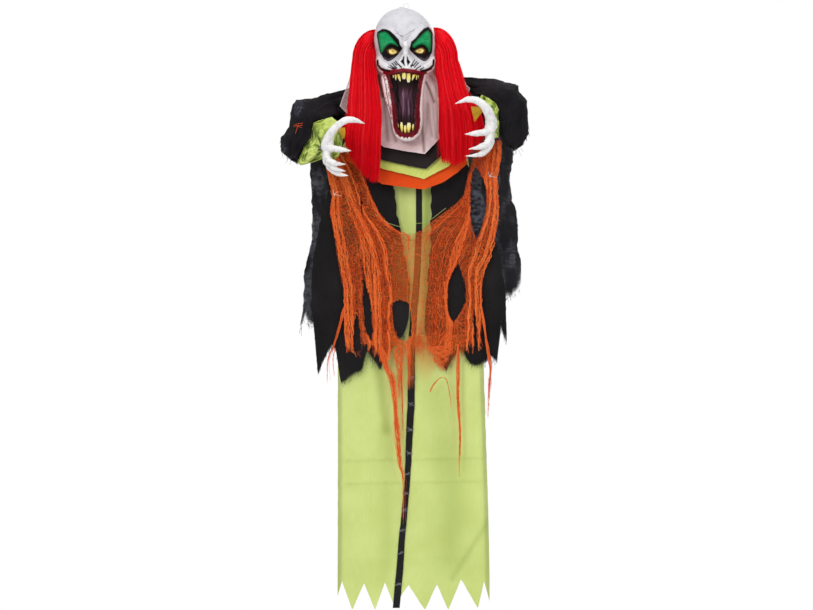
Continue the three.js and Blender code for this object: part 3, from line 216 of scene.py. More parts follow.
class Finish:
    """A material built from nodes."""

    def __init__(self, name, shine=None, **constants):
        self.material = bpy.data.materials.new(name)
        self.material.use_nodes = True
        self.tree = self.material.node_tree
        self.surface = self.tree.nodes["Principled BSDF"]
        for key, value in constants.items():
            self.out(key.replace("_", " ").title(), value)
        if shine is not None:
            self.out("Specular IOR Level", shine)

    def add(self, kind, settings=None, inputs=None, output=0):
        node = self.tree.nodes.new(kind)
        for key, value in (settings or {}).items():
            if key == "stops":
                set_stops(node.color_ramp, value)
            else:
                setattr(node, key, value)
        for key, value in (inputs or {}).items():
            self.feed(node.inputs[key], value)
        return Wire(self, node.outputs[output])

    def feed(self, socket, value):
        if isinstance(value, Wire):
            self.tree.links.new(value.socket, socket)
        else:
            socket.default_value = value

    def out(self, key, value):
        self.feed(self.surface.inputs[key], value)

    def place(self):
        return self.add("ShaderNodeTexCoord", output="Object")

    def carried(self, name, output="Fac"):
        return self.add("ShaderNodeAttribute", {"attribute_name": name}, output=output)

    def stretch(self, vector, scales):
        return self.add("ShaderNodeMapping", {}, {"Vector": vector, "Scale": scales})

    def noise(self, vector, scale, detail, roughness=0.5):
        inputs = {"Vector": vector, "Scale": scale, "Detail": detail, "Roughness": roughness}
        return self.add("ShaderNodeTexNoise", {}, inputs)

    def grain(self, vector, scales, detail, roughness=0.5):
        """Noise with a scale of its own along each axis."""
        return self.noise(self.stretch(vector, scales), 1.0, detail, roughness)

    def cells(self, vector, scale):
        return self.add("ShaderNodeTexVoronoi", {}, {"Vector": vector, "Scale": scale}, "Distance")

    def split(self, vector):
        node = self.add("ShaderNodeSeparateXYZ", {}, {0: vector}).socket.node
        return [Wire(self, socket) for socket in node.outputs]

    def mix(self, share, first, second, blend="MIX"):
        settings = {"data_type": "RGBA", "blend_type": blend}
        node = self.add("ShaderNodeMix", settings).socket.node
        for number, value in ((0, share), (6, first), (7, second)):
            self.feed(node.inputs[number], value)
        return Wire(self, node.outputs[2])

    def ramp(self, value, stops):
        return self.add("ShaderNodeValToRGB", {"stops": stops}, {0: value})

    def dress(self, colour, roughness, height, distance, strength):
        """Gives the surface its colour, roughness and fine relief; returns the material."""
        self.out("Base Color", colour)
        self.out("Roughness", roughness)
        inputs = {"Height": height, "Distance": distance, "Strength": strength}
        self.out("Normal", self.add("ShaderNodeBump", {}, inputs))
        return self.material


CLOTH_SHINE = 0.15


def weave_height(finish, pitch):
    """The height of a plain weave over the cloth's own width and length."""
    u, v, _ = finish.split(finish.carried("cloth", "Vector"))
    warp = (u * (FULL_TURN / pitch)).sine()
    weft = (v * (FULL_TURN / pitch)).sine()
    return warp * weft * 0.5 + 0.5


def cloth_finish(name, colour, dark, pitch, crease, roughness, sheen, see_through=0.0, light_and_shade_tint=None):
    """Cloth with a weave, soft uneven colour and fine creases; where it is carried, painted light and shade,
    and worn open.
    """
    finish = Finish(name, CLOTH_SHINE, roughness=roughness, sheen_weight=sheen)
    cloth = finish.carried("cloth", "Vector")
    mottle = finish.noise(finish.place(), 9.0, 4.0)
    streaks = finish.grain(cloth, (420.0, 30.0, 1.0), 3.0)
    creases = finish.grain(cloth, (26.0, 11.0, 1.0), 5.0, 0.6)
    weave = weave_height(finish, pitch)
    tone = finish.mix((mottle * 0.6 + streaks * 0.4).between(0.3, 0.72), dark, colour)
    tone = finish.mix((1 - weave) * 0.22, tone, dark)
    # Painted light and shade: the tint is mixed in as far as the piece carries its shaded share
    if light_and_shade_tint:
        tone = finish.mix(finish.carried("shaded"), tone, light_and_shade_tint)
    if see_through:
        gaps = finish.grain(cloth, (900.0, 900.0, 1.0), 1.0)
        open_share = (finish.carried("worn") * see_through).least(0.95)
        finish.out("Alpha", 1 - (open_share > gaps))
    relief = weave * 0.25 + creases * crease
    return finish.dress(tone, roughness - 0.1 + streaks * 0.2, relief, 0.0012, 0.8)


def mask_finish():
    finish = Finish("painted_mask", 0.16)
    place = finish.place()
    mottle, blotch = finish.noise(place, 60.0, 5.0), finish.noise(place, 16.0, 3.0)
    pores = finish.noise(place, 700.0, 2.0)
    paint = finish.carried("paint", "Color")
    worn = finish.mix(mottle.between(0.42, 0.8) * 0.3, paint, shade(196, 188, 192), "MULTIPLY")
    worn = finish.mix(blotch.between(0.5, 0.85) * 0.05, worn, shade(255, 250, 246))
    return finish.dress(worn, 0.46 + mottle * 0.22, pores * 0.3 + mottle * 0.7, 0.0009, 0.7)


def claw_finish():
    finish = Finish("claw_white", 0.3)
    place = finish.place()
    mottle, fine = finish.noise(place, 45.0, 4.0), finish.noise(place, 320.0, 3.0)
    tone = finish.mix(mottle.between(0.3, 0.8) * 0.35, shade(255, 254, 252), shade(232, 232, 238))
    # Painted shade in the sunk pits of the claws' skin
    tone = finish.mix(finish.carried("hollow") * 0.75, tone, shade(150, 146, 150))
    return finish.dress(tone, 0.3 + fine * 0.22, mottle * 0.5 + fine * 0.4, 0.0008, 0.6)


def tooth_finish():
    finish = Finish("tooth_yellow", coat_weight=0.5)
    streak = finish.grain(finish.place(), (700.0, 700.0, 60.0), 3.0)
    stops = [(0.0, shade(120, 70, 34)), (0.18, shade(226, 180, 76)), (0.45, shade(255, 234, 112)),
             (1.0, shade(255, 250, 196))]
    # Darker towards the root, paler towards the tip
    root_to_tip = finish.carried("along") + (streak - 0.5) * 0.5
    return finish.dress(finish.ramp(root_to_tip, stops), 0.2 + streak * 0.2, streak, 0.0005, 0.6)


def gum_finish():
    finish = Finish("gum_maroon", coat_weight=0.3)
    place = finish.place()
    wet, speckle = finish.noise(place, 90.0, 4.0), finish.noise(place, 420.0, 2.0)
    tone = finish.mix(wet.between(0.35, 0.7), shade(84, 14, 28), shade(150, 28, 44))
    tone = finish.mix(speckle.between(0.6, 0.7) * 0.7, tone, shade(238, 196, 200))
    return finish.dress(tone, 0.25 + speckle * 0.3, wet * 0.7 + speckle * 0.3, 0.0012, 0.8)


def hair_finish():
    # Painted light: the hair glows faintly in its own red
    finish = Finish("hair_red", 0.12, emission_strength=0.05)
    streak = finish.grain(finish.place(), (260.0, 260.0, 12.0), 2.0)
    mixed = (finish.carried("tone") * 0.7 + streak * 0.45).between(0.15, 0.95)
    stops = [(0.0, shade(204, 0, 14)), (0.4, shade(238, 0, 24)), (0.8, shade(250, 6, 30)),
             (1.0, shade(255, 50, 56))]
    colour = finish.ramp(mixed, stops)
    finish.out("Emission Color", colour)
    return finish.dress(colour, 0.36 + streak * 0.2, streak, 0.0006, 0.4)


def thread_finish(name, low, middle, high):
    finish = Finish(name, CLOTH_SHINE, sheen_weight=0.1)
    place = finish.place()
    twist, mottle = finish.noise(place, 900.0, 2.0), finish.noise(place, 14.0, 3.0)
    mixed = finish.carried("tone") * 0.55 + mottle * 0.35 + twist * 0.2
    colour = finish.ramp(mixed, [(0.2, low), (0.55, middle), (0.85, high)])
    return finish.dress(colour, 0.7 + twist * 0.2, twist, 0.0004, 0.8)


def net_gauze_finish():
    """The net's finest threads, too fine to model one by one: half see-through and worn open in places."""
    finish = Finish("net_gauze", 0.1)
    cloth = finish.carried("cloth", "Vector")
    curl = finish.grain(cloth, (420.0, 260.0, 1.0), 4.0, 0.7)
    loops = finish.cells(finish.stretch(cloth, (330.0, 240.0, 1.0)), 1.0)
    mesh = (curl * 1.3 + loops * 0.35 - 0.62).most(finish.carried("shaded") * 0.5)
    finish.out("Alpha", (mesh * (1 - finish.carried("worn"))).most(0.0).least(1.0))
    colour = finish.ramp(curl, [(0.3, shade(196, 82, 36)), (0.5, shade(240, 122, 46)),
                                (0.75, shade(255, 164, 76))])
    return finish.dress(colour, 0.7 + curl * 0.2, curl, 0.0006, 0.6)


def eye_finish():
    # Painted light: the eyes glow in their own yellow
    finish = Finish("eye_yellow", coat_weight=0.6, emission_strength=0.45)
    veins = finish.noise(finish.place(), 160.0, 4.0)
    stops = [(0.0, shade(206, 150, 56)), (0.16, shade(226, 176, 80)), (0.34, shade(252, 226, 138)),
             (0.66, shade(255, 234, 150)), (0.92, shade(214, 158, 74)), (1.0, shade(130, 84, 34))]
    colour = finish.ramp(finish.carried("ring") + (veins - 0.5) * 0.25, stops)
    finish.out("Emission Color", colour)
    return finish.dress(colour, 0.16 + veins * 0.12, veins, 0.0002, 0.3)


def mouth_finish():
    finish = Finish("purple_cloth", sheen_weight=0.1)
    streaks = finish.grain(finish.carried("cloth", "Vector"), (900.0, 40.0, 1.0), 3.0)
    stops = [(0.0, shade(44, 20, 26)), (0.3, shade(66, 34, 46)), (0.62, shade(104, 60, 84)),
             (1.0, shade(180, 138, 162))]
    colour = finish.ramp(finish.carried("tone") * (0.55 + streaks * 0.9), stops)
    relief = weave_height(finish, 0.0014) * 0.25 + streaks * 0.8
    return finish.dress(colour, 0.7 + streaks * 0.2, relief, 0.0010, 0.7)


def metal_finish(name, tone, scratched):
    finish = Finish(name, metallic=1.0)
    place = finish.place()
    scratch, dull = finish.grain(place, (40.0, 900.0, 900.0), 3.0), finish.noise(place, 30.0, 3.0)
    colour = finish.mix(dull.between(0.3, 0.8), tone, scratched)
    return finish.dress(colour, 0.25 + scratch * 0.3, scratch, 0.0002, 0.4)


def foam_finish():
    finish = Finish("foam")
    place = finish.place()
    pores, mottle = finish.cells(place, 260.0), finish.noise(place, 25.0, 3.0)
    tone = finish.mix(pores.between(0.1, 0.6), shade(168, 160, 138), shade(226, 218, 198))
    tone = finish.mix(mottle * 0.3, tone, shade(196, 182, 150))
    return finish.dress(tone, 0.88 + mottle * 0.1, pores, 0.0012, 0.8)


def floor_finish():
    finish = Finish("pale_floor")
    cloud = finish.noise(finish.place(), 3.0, 3.0)
    colour = finish.mix(cloud, shade(226, 226, 228), shade(238, 238, 240))
    return finish.dress(colour, 0.55 + cloud * 0.1, cloud, 0.002, 0.2)


MASK = mask_finish()
CLAW = claw_finish()
TOOTH = tooth_finish()
GUM = gum_finish()
HAIR = hair_finish()
EYE = eye_finish()
STEEL = metal_finish("steel", shade(170, 172, 176), shade(120, 120, 124))
FOAM = foam_finish()
# The robe's darker tint is its painted shadow, laid where build_robe's shadow says
LIME = cloth_finish("lime_cloth", shade(236, 250, 160), shade(220, 236, 138), 0.0011, 0.5, 0.55, 0.1,
                    light_and_shade_tint=shade(150, 172, 66))
# The ruffle's darker green tint is painted shade in its creases
LIME_RUFFLE = cloth_finish("lime_ruffle", shade(236, 250, 152), shade(208, 226, 112), 0.0011, 0.9, 0.6, 0.1,
                           light_and_shade_tint=shade(92, 120, 26))
# The lining is lime; its gold is painted red light falling on it
RED_LIT_LINING = cloth_finish("gold_lining", shade(226, 186, 56), shade(190, 140, 30), 0.0011, 0.9, 0.6, 0.1)
# The pale tints given last to the jacket, tail and sleeve gauze below are painted highlights
BLACK = cloth_finish("black_gauze", shade(40, 37, 38), shade(20, 18, 20), 0.0016, 1.6, 0.88, 0.1, 0.9,
                     shade(104, 108, 122))
TAIL_GAUZE = cloth_finish("black_tail_gauze", shade(54, 53, 58), shade(30, 29, 33), 0.0022, 2.2, 0.9, 0.1,
                          1.0, shade(112, 113, 124))
SLEEVE = cloth_finish("black_sleeve", shade(38, 35, 39), shade(20, 18, 21), 0.0015, 0.8, 0.95, 0.0, 0.9,
                      shade(92, 94, 108))
BLACK_COLLAR = cloth_finish("black_collar", shade(50, 42, 42), shade(30, 26, 26), 0.0012, 0.6, 0.8, 0.1)
# The pink in the white cloth's colours is painted red light reflected from the hair; its brown tint is
# painted shade in the neck's folds
WHITE = cloth_finish("white_cloth", shade(255, 244, 244), shade(232, 196, 198), 0.0014, 0.8, 0.85, 0.1, 0.8,
                     shade(126, 92, 80))
LIME_COLLAR = cloth_finish("lime_collar", shade(240, 250, 142), shade(210, 222, 100), 0.0012, 0.6, 0.75, 0.1)
ORANGE = cloth_finish("orange_cloth", shade(255, 100, 30), shade(236, 70, 14), 0.0012, 0.6, 0.75, 0.1)
PURPLE = mouth_finish()
RIBBON = cloth_finish("black_ribbon", shade(30, 28, 32), shade(12, 11, 14), 0.0009, 0.4, 0.42, 0.2)
floor.data.materials.append(floor_finish())
NET = thread_finish("net_orange", shade(150, 44, 16), shade(238, 88, 32), shade(255, 136, 66))
NET_GAUZE = net_gauze_finish()
BLACK_THREAD = thread_finish("black_thread", shade(12, 11, 12), shade(34, 32, 34), shade(66, 64, 68))
GREY_THREAD = thread_finish("grey_thread", shade(96, 96, 98), shade(146, 146, 148), shade(196, 196, 198))
GREEN_THREAD = thread_finish("green_thread", shade(96, 130, 40), shade(170, 190, 90), shade(210, 222, 140))
WHITE_THREAD = thread_finish("white_thread", shade(190, 186, 180), shade(226, 222, 216), shade(246, 244, 240))


# Shapes


BEHIND = np.array([0.0, 1.0, 0.0])


def spaced(low, high, count):
    return np.linspace(low, high, count)


def round_turn(count):
    """Even angles once round."""
    return spaced(0, FULL_TURN, count + 1)[:-1]


def unit_rows(v):
    return v / np.maximum(np.linalg.norm(v, axis=-1, keepdims=True), 1e-9)


def smooth(t):
    t = np.clip(t, 0, 1)
    return t * t * (3 - 2 * t)


def wander(a, b, seed, octaves=3):
    """Smooth noise from a seed, about -1 to 1, over two coordinates measured in bumps."""
    total, weight, sum_of_weights = 0.0, 1.0, 0.0
    for octave in range(octaves):
        table = np.random.default_rng(seed * 17 + octave).uniform(-1, 1, (64, 64))
        x, y = np.asarray(a, float) * 2**octave, np.asarray(b, float) * 2**octave
        i, j = np.floor(x).astype(int), np.floor(y).astype(int)
        u, v = smooth(x - i), smooth(y - j)
        rows = [table[(i + p) % 64, j % 64] * (1 - v) + table[(i + p) % 64, (j + 1) % 64] * v for p in (0, 1)]
        total = total + weight * (rows[0] * (1 - u) + rows[1] * u)
        sum_of_weights += weight
        weight /= 2
    return 1.6 * total / sum_of_weights


def read_off(table, at, **beyond):
    """What each later column of a table says where its first one is at."""
    table = np.asarray(table, float)
    return [np.interp(at, table[:, 0], column, **beyond) for column in table.T[1:]]


def along_line(points, at):
    """A polyline's second coordinate where its first one is at."""
    return read_off(points, at)[0]


def strip_between(line, rows, columns):
    """A strip's levels, places across, shares of its width and edges, with what else its line says."""
    levels = spaced(line[0][0], line[-1][0], rows)[:, None]
    share = spaced(0, 1, columns)[None, :]
    near, far, *more = read_off(line, levels)
    return levels + 0 * share, near + (far - near) * share, share, near, far, *more


def grid_faces(rows, columns, closed):
    i = np.arange(rows - 1)[:, None]
    j = np.arange(columns if closed else columns - 1)[None, :]
    after = (j + 1) % columns
    corners = [i * columns + j, i * columns + after, (i + 1) * columns + after, (i + 1) * columns + j]
    return np.stack([np.broadcast_to(c, np.broadcast(i, j).shape) for c in corners], -1).reshape(-1, 4)


def new_piece(name, points, faces, finish, body, carried):
    mesh = bpy.data.meshes.new(name)
    mesh.from_pydata(points.tolist(), [], faces)
    mesh.polygons.foreach_set("use_smooth", np.ones(len(faces), bool))
    mesh.materials.append(finish)
    piece = bpy.data.objects.new(name, mesh)
    bpy.context.scene.collection.objects.link(piece)
    for key, values in carried.items():
        carry(piece, key, values)
    if body:
        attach(piece, body)
    return piece


def add_piece(name, points, faces, finish, body, **carried):
    """A mesh of four-sided faces from arrays, with what its points carry for the finish; loose points go."""
    used, faces = np.unique(faces, return_inverse=True)
    points = np.asarray(points, float).reshape(-1, 3)[used]
    carried = {key: np.asarray(values, float)[used] for key, values in carried.items()}
    return new_piece(name, points, faces.reshape(-1, 4).tolist(), finish, body, carried)


def add_mixed(name, points, faces, finish, body, **carried):
    """A mesh of triangles and four-sided faces together."""
    faces = [[int(i) for i in face] for face in faces]
    carried = {key: np.asarray(values, float) for key, values in carried.items()}
    return new_piece(name, np.asarray(points), faces, finish, body, carried)


def carry(piece, key, values):
    kind = {1: "FLOAT", 3: "FLOAT_VECTOR", 4: "FLOAT_COLOR"}[1 if values.ndim == 1 else values.shape[1]]
    attribute = piece.data.attributes.new(key, kind, "POINT")
    field = {"FLOAT": "value", "FLOAT_VECTOR": "vector", "FLOAT_COLOR": "color"}[kind]
    attribute.data.foreach_set(field, values.astype(np.float32).ravel())


def measured(points, axis):
    """Distance along a grid of points, from its first row or column."""
    steps = np.linalg.norm(np.diff(points, axis=axis), axis=-1)
    lengths = np.cumsum(steps, axis=axis)
    pad = [(0, 0), (0, 0)]
    pad[axis] = (1, 0)
    return np.pad(lengths, pad)


def cloth_grid(name, points, finish, body, kept=None, worn=None, closed=False, shaded=None):
    """A sheet of cloth from a grid of points (rows, columns, 3)."""
    rows, columns = points.shape[:2]
    faces = grid_faces(rows, columns, closed)
    if kept is not None:
        faces = faces[kept.reshape(-1)]
    u, v = measured(points, 1), measured(points, 0)
    cloth = np.stack([u, v, np.zeros_like(u)], -1).reshape(-1, 3)
    worn = np.zeros(rows * columns) if worn is None else np.asarray(worn).reshape(-1)
    more = {} if shaded is None else dict(shaded=np.asarray(shaded).reshape(-1))
    return add_piece(name, points, faces, finish, body, cloth=cloth, worn=worn, **more)


def area_of(points, kept=1.0):
    """The area of a grid of points, or of its kept faces."""
    a = points[1:, 1:] - points[:-1, :-1]
    b = points[1:, :-1] - points[:-1, 1:]
    return float((0.5 * np.linalg.norm(np.cross(a, b), axis=-1) * kept).sum())


def mean_size(points):
    """How wide a grid of points is along its rows and how long down its columns, on average."""
    return float(measured(points, 1)[:, -1].mean()), float(measured(points, 0)[-1].mean())


def view_of(points):
    """The grid places of a grid of points."""
    return np.moveaxis(on_view(*np.moveaxis(points, -1, 0)), -1, 0)


def ribbons(paths, widths, facing):
    """Flat strips along paths (count, steps, 3); returns points, faces."""
    count, steps = paths.shape[:2]
    tangent = np.gradient(paths, axis=1)
    side = unit_rows(np.cross(tangent, facing))
    half = np.broadcast_to(np.asarray(widths, float), (count, steps))[..., None] / 2
    points = np.stack([paths - side * half, paths + side * half], 2)
    base = np.arange(count)[:, None] * steps * 2 + np.arange(steps - 1)[None, :] * 2
    faces = np.stack([base, base + 1, base + 3, base + 2], -1).reshape(-1, 4)
    return points.reshape(-1, 3), faces


def limb_rings(path, radii, deep, steps, sides):
    """Rings round a smooth path, with radii given at its points."""
    path = np.asarray(path, float)
    t = spaced(0, len(path) - 1, steps)
    centre = spline(path, t)
    tangent = np.gradient(centre, axis=0)
    side = unit_rows(np.cross(tangent, BEHIND))
    out = unit_rows(np.cross(side, tangent))
    turn = round_turn(sides)
    wide, thick = (np.interp(t, range(len(path)), r)[:, None, None] for r in (radii, deep))
    wide, thick = wide * np.cos(turn)[None, :, None], thick * np.sin(turn)[None, :, None]
    return centre[:, None] + side[:, None] * wide + out[:, None] * thick


def spline(path, t):
    """Points on a smooth line through path, at t counted in its points."""
    padded = np.vstack([2 * path[0] - path[1], path, 2 * path[-1] - path[-2]])
    i = np.clip(np.floor(t).astype(int), 0, len(path) - 2)
    u = (t - i)[:, None]
    a, b, c, d = (padded[i + k] for k in range(4))
    return 0.5 * (2 * b + (c - a) * u + (2 * a - 5 * b + 4 * c - d) * u**2 + (3 * b - a - 3 * c + d) * u**3)


def closed_limb(rings):
    """Points and faces of a limb with its ends closed to a point."""
    steps, sides = rings.shape[:2]
    points = np.vstack([rings.reshape(-1, 3), rings[0].mean(0)[None], rings[-1].mean(0)[None]])
    faces = [tuple(face) for face in grid_faces(steps, sides, True)]
    last = steps * sides
    for i in range(sides):
        j = (i + 1) % sides
        faces.append((j, i, last))
        faces.append((last - sides + i, last - sides + j, last + 1))
    return points, faces


def stacked(limbs):
    """Points and faces of several limbs as one."""
    points, faces, base = [], [], 0
    for shape, more in limbs:
        points.append(shape)
        faces += [tuple(i + base for i in face) for face in more]
        base += len(shape)
    return np.vstack(points), faces


# Head: the moulded mask. Its form and its painted features are drawn on the front view's grid.

CROWN_Z, HEAD_LENGTH, HEAD_HALF, HEAD_DEEP, PINCH_X = -0.016, 0.402, 0.094, 0.100, -0.0115
HEAD_FORWARD, SHELL_WALL = 0.020, 0.0026
DOME_SHARE, CHIN_SHARE, NAPE_SHARE, DOME_POWER = 0.27, 0.93, 0.5, 2.1
JAW_BACK_Y = -HEAD_FORWARD - 0.58 * HEAD_DEEP
# Down the head: share of its length, then shares of its half width and of its depth in front and behind
HEAD_SECTIONS = [
    (0.27, 0.965, 1.08, 1.0), (0.35, 0.955, 1.05, 0.96), (0.40, 0.985, 1.06, 0.86), (0.445, 0.965, 1.1, 0.7),
    (0.475, 0.85, 1.12, 0.62), (0.5, 0.73, 1.12, 0.52), (0.56, 0.685, 1.09, -0.4), (0.64, 0.62, 1.05, -0.58),
    (0.72, 0.56, 1.02, -0.58), (0.8, 0.51, 1.0, -0.58), (0.88, 0.465, 0.98, -0.58), (0.93, 0.42, 0.96, -0.58),
    (1.0, 0.36, 0.92, -0.58),
]
WIDEST_SHARE = 0.99
RIDGE_AWAY, RIDGE_REACH, RIDGE_HEIGHT = 1.2, 1.3, 0.004
SNAP_REACH = 0.24
PINCH_SHARE, PINCH_HEIGHT, PINCH_REACH = 0.1, 0.007, 0.0065
# The mask's rows, closer together over the face: from which share of its length to which, and how many
MASK_BANDS = [(0.0005, 0.03, 10), (0.03, 0.13, 26), (0.13, 0.52, 171), (0.52, 0.95, 116), (0.95, 0.9995, 21)]
MASK_COLUMNS, FRONT_CROWDING = 300, 0.55
# How far the moulded face leans off the grid's middle, in steps
HEAD_LEAN = [(0, -3.4), (0.2, -1.9), (0.31, -0.9), (0.45, 0.2), (0.5, -1.4), (0.56, -3.4), (0.64, -2.8),
             (0.72, -1.4), (0.8, 0.2), (0.88, 1.4), (1.0, 0.8)]
MOUTH_OUTLINE = [
    (390, 75.6), (394, 74.4), (400, 73.2), (404, 72.4), (409, 72.8), (415, 74.2), (419.8, 74.8), (419.4, 80),
    (418.6, 86), (417.8, 92.5), (416.4, 100), (415.4, 109), (415.3, 118), (415.4, 125), (414, 130.6),
    (410, 133.2), (405.5, 133.9), (401, 132.8), (398.4, 129.5), (397.3, 124), (396.8, 116), (396.2, 108),
    (394.6, 100), (393.0, 92), (391.6, 84),
]
LIP_OUTLINE = [
    (378.5, 68.8), (387.9, 70.2), (397.1, 69.4), (403.6, 68.3), (413.4, 69.4), (418.8, 70.5), (427.5, 69.4),
    (432, 67.5), (429.6, 71), (424, 74), (422.3, 80), (420.9, 88), (420.1, 98), (419.6, 109), (420.2, 120),
    (419.6, 128), (417.6, 133.4), (412.5, 137), (406.5, 138.4), (400.4, 137.2), (396.2, 133.4), (394, 127),
    (393.2, 119), (392.1, 109), (390.9, 98), (389.8, 88), (388, 80), (385.6, 74.6), (381, 71.4),
]
# Round each eye: the black hollow, the green over it and the eye's own almond opening
EYE_FORMS = {
    LEFT: dict(
        hollow=[(377.6, 35.4), (378.2, 32), (382.9, 29.4), (386.5, 29.4), (390.1, 31.1), (395, 35.2),
                (399, 40.1), (400.8, 45), (403, 47.9), (401.3, 50.7), (398.6, 54.8), (395, 58.3), (391, 61),
                (387.9, 61.9), (384.7, 59.7), (382.1, 55.6), (380.5, 51.9), (378.7, 42.9)],
        green=[(379.1, 33.3), (382.5, 31.8), (385.6, 31.3), (388.8, 33.4), (392.3, 37.6), (396.4, 42.4),
               (398.8, 46.1), (395, 44.2), (390.9, 43.3), (387.6, 45.0), (384.9, 48), (383.2, 51.2),
               (381.7, 53.0), (380.8, 49.6), (379.3, 40.7)],
        eye=[(388.3, 49.9), (390.2, 48.6), (392.5, 48.2), (395.2, 49.4), (397.9, 51.5), (396.2, 53.3),
             (393.5, 54.6), (391, 54.3), (389.2, 52.4)]),
    RIGHT: dict(
        hollow=[(409.0, 48.2), (411.3, 42), (414.9, 38.3), (418.9, 33.4), (423.4, 28.9), (427.6, 27.1),
                (430.5, 30.2), (432, 34), (432, 42.9), (431.4, 51.9), (430.3, 55), (428.5, 58.8),
                (425.4, 61.9), (422.7, 61.5), (417.3, 57.9), (413.3, 54.3), (410.2, 50.9)],
        green=[(412.1, 46.9), (411.9, 44.5), (414.9, 41.0), (419.3, 36.6), (423.8, 32.1), (427.4, 30.2),
               (430.2, 34), (430.4, 45.2), (429.6, 51.0), (428.5, 51.9), (427.3, 48.2), (424.7, 45.2),
               (421.3, 43.8), (417.3, 45.0), (414.6, 47.1)],
        eye=[(414.4, 50.7), (416.8, 49.2), (419.8, 48), (422, 48), (424.4, 50), (423, 52.2), (421, 53.4),
             (418.4, 53.2), (416, 52.2)]),
}
NOSE_HOLES = [[(404.4, 55.7), (402.4, 58.6), (400.6, 61.7), (402.6, 64.4), (405.3, 67.0), (404.8, 61.3)],
              [(406.8, 56.1), (408.6, 58.8), (410.4, 62.1), (409.2, 64.4), (407.6, 66.6), (406.2, 61.3)]]
FOREHEAD_LINES = [[(395.7, 33.6), (399.6, 35.2), (403.3, 36.5), (407.2, 34.6), (410.6, 31.8)],
                  [(399.6, 36.2), (402.2, 37.4), (404.8, 38.6), (408.2, 36.6), (411, 33.9)],
                  [(401.2, 39), (403.2, 40.2), (405.3, 40.9), (408.6, 38.5)],
                  [(402.6, 42.4), (403.2, 44.4), (403.5, 47)], [(407.8, 42.6), (407.6, 45), (407.9, 47.4)],
                  [(394.2, 30.4), (398.4, 33.2)], [(414.6, 29.8), (411.4, 32.4)]]
LIP_STROKES = [[(395.9, 61.3), (400.6, 67.6)], [(392.3, 63.5), (397, 68.6)], [(398.8, 64.4), (401.5, 67.7)],
               [(388.3, 67.1), (394.1, 69.6)], [(390.4, 65.4), (395.6, 69.2)],
               [(394.2, 62.4), (396.8, 65.4)], [(414.6, 59.9), (410.6, 66.4)], [(418.2, 63), (414.4, 67.7)],
               [(420.4, 66.2), (415.5, 69.7)], [(423.6, 67.8), (420, 69.6)], [(416.4, 61.8), (413, 66.2)],
               [(412.4, 64.8), (411, 67.6)]]
FINE_LINES = [[(402.8, 50.6), (400.6, 56.6), (397.4, 60.6)], [(408.8, 50.4), (411.6, 56.6), (415.2, 60.2)],
              [(382.6, 57.6), (385.4, 62.4), (389.6, 64.4)], [(429.4, 57.6), (426.4, 63.2), (422.2, 64.6)]]
SMILE_LINES = [[(378.4, 61), (378.7, 65), (381.2, 67.9), (385.2, 69.7), (389.6, 70.9)],
               [(433, 60.6), (432.3, 65.6), (429.4, 68.1), (425.4, 69.8), (421.4, 71)]]
SMILE_RIMS = [[(376.6, 60), (376.8, 66), (379.2, 69.6), (383, 71.6)],
              [(434.8, 59.6), (434.2, 66.8), (431, 69.9), (427, 71.6)]]
LEFT_STREAKS = [[(381.2, 77), (384, 95), (388.6, 112), (393, 129)],
                [(384.6, 76.4), (387.4, 94), (391, 112)], [(387, 78), (389.3, 90)],
                [(382.6, 84), (385.6, 100)], [(388.8, 96), (391, 108)], [(390.6, 114), (393.2, 126)]]
PALE_RIDGES = [[(382.8, 77), (385.8, 95), (389.8, 112), (394.2, 129), (398.6, 138), (405, 139.6)],
               [(386, 78), (388.6, 92), (391, 106)],
               [(424.6, 75.6), (422.4, 87), (421.2, 98), (420.8, 109), (421.4, 120), (419.6, 132),
                (413, 138.6), (406, 140)]]
CHIN_DRIPS = [[(402, 137.6), (402.2, 141.2)], [(405.8, 138.4), (405.8, 141.8)],
              [(409.3, 138), (409.2, 141.2)]]
# Raised and sunk places: a line on the grid, its reach in steps and its height in millimetres
FACE_RELIEF = [
    ([(386, 52.5), (398, 51.5)], 5.0, -13), ([(414, 51.5), (426, 52.5)], 5.0, -13),
    ([(379, 31), (386.5, 29), (395, 35), (402.5, 46)], 2.6, 8),
    ([(430.5, 29), (425, 27.5), (415, 37.5), (409.5, 46.5)], 2.6, 8), ([(379.5, 60.5), (385, 64.4)], 3.4, 9),
    ([(433, 60), (427, 64.4)], 3.4, 9), ([(405.3, 43), (405.4, 54)], 2.4, 6),
    ([(403.2, 59), (403.6, 64.6)], 1.5, -7), ([(408, 59), (407.9, 64.4)], 1.5, -7),
    ([(378, 63), (383, 68), (390, 70.4), (398, 69), (406, 68.2), (414, 69.2), (422, 70.4), (430, 67.8),
      (434, 62)], 2.2, 6), ([(400, 138.4), (411, 138.4)], 3.0, 4),
]
FACE_RELIEF += [(line, 0.75, -1.9) for line in FOREHEAD_LINES + LIP_STROKES] + [(line, 1.0, 2.6)
                                                                                for line in PALE_RIDGES]
FACE_RELIEF += [(line, 0.7, 3.0) for line in CHIN_DRIPS] + [(line, 0.8, -1.2) for line in FINE_LINES]


def head_section(share):
    """Half width, depth in front and behind, and the middle across, at a share of the head's length."""
    middle = np.clip(share, DOME_SHARE, 1)
    half, front, back = read_off(HEAD_SECTIONS, middle)
    dome = (1 - np.clip(1 - share / DOME_SHARE, 0, 1) ** DOME_POWER) ** (1 / DOME_POWER)
    chin = np.sqrt(np.clip(1 - (np.clip(share - CHIN_SHARE, 0, 1) / (1 - CHIN_SHARE)) ** 2, 0, 1))
    round_off = dome * chin
    middle = np.where(share > CHIN_SHARE, (front - back) / 2, 0)
    front = middle + (front - middle) * round_off
    back = -middle + (back + middle) * round_off
    half = np.minimum(half * round_off, WIDEST_SHARE)
    return half * HEAD_HALF, front * HEAD_DEEP, back * HEAD_DEEP, along_line(HEAD_LEAN, share) * CELL


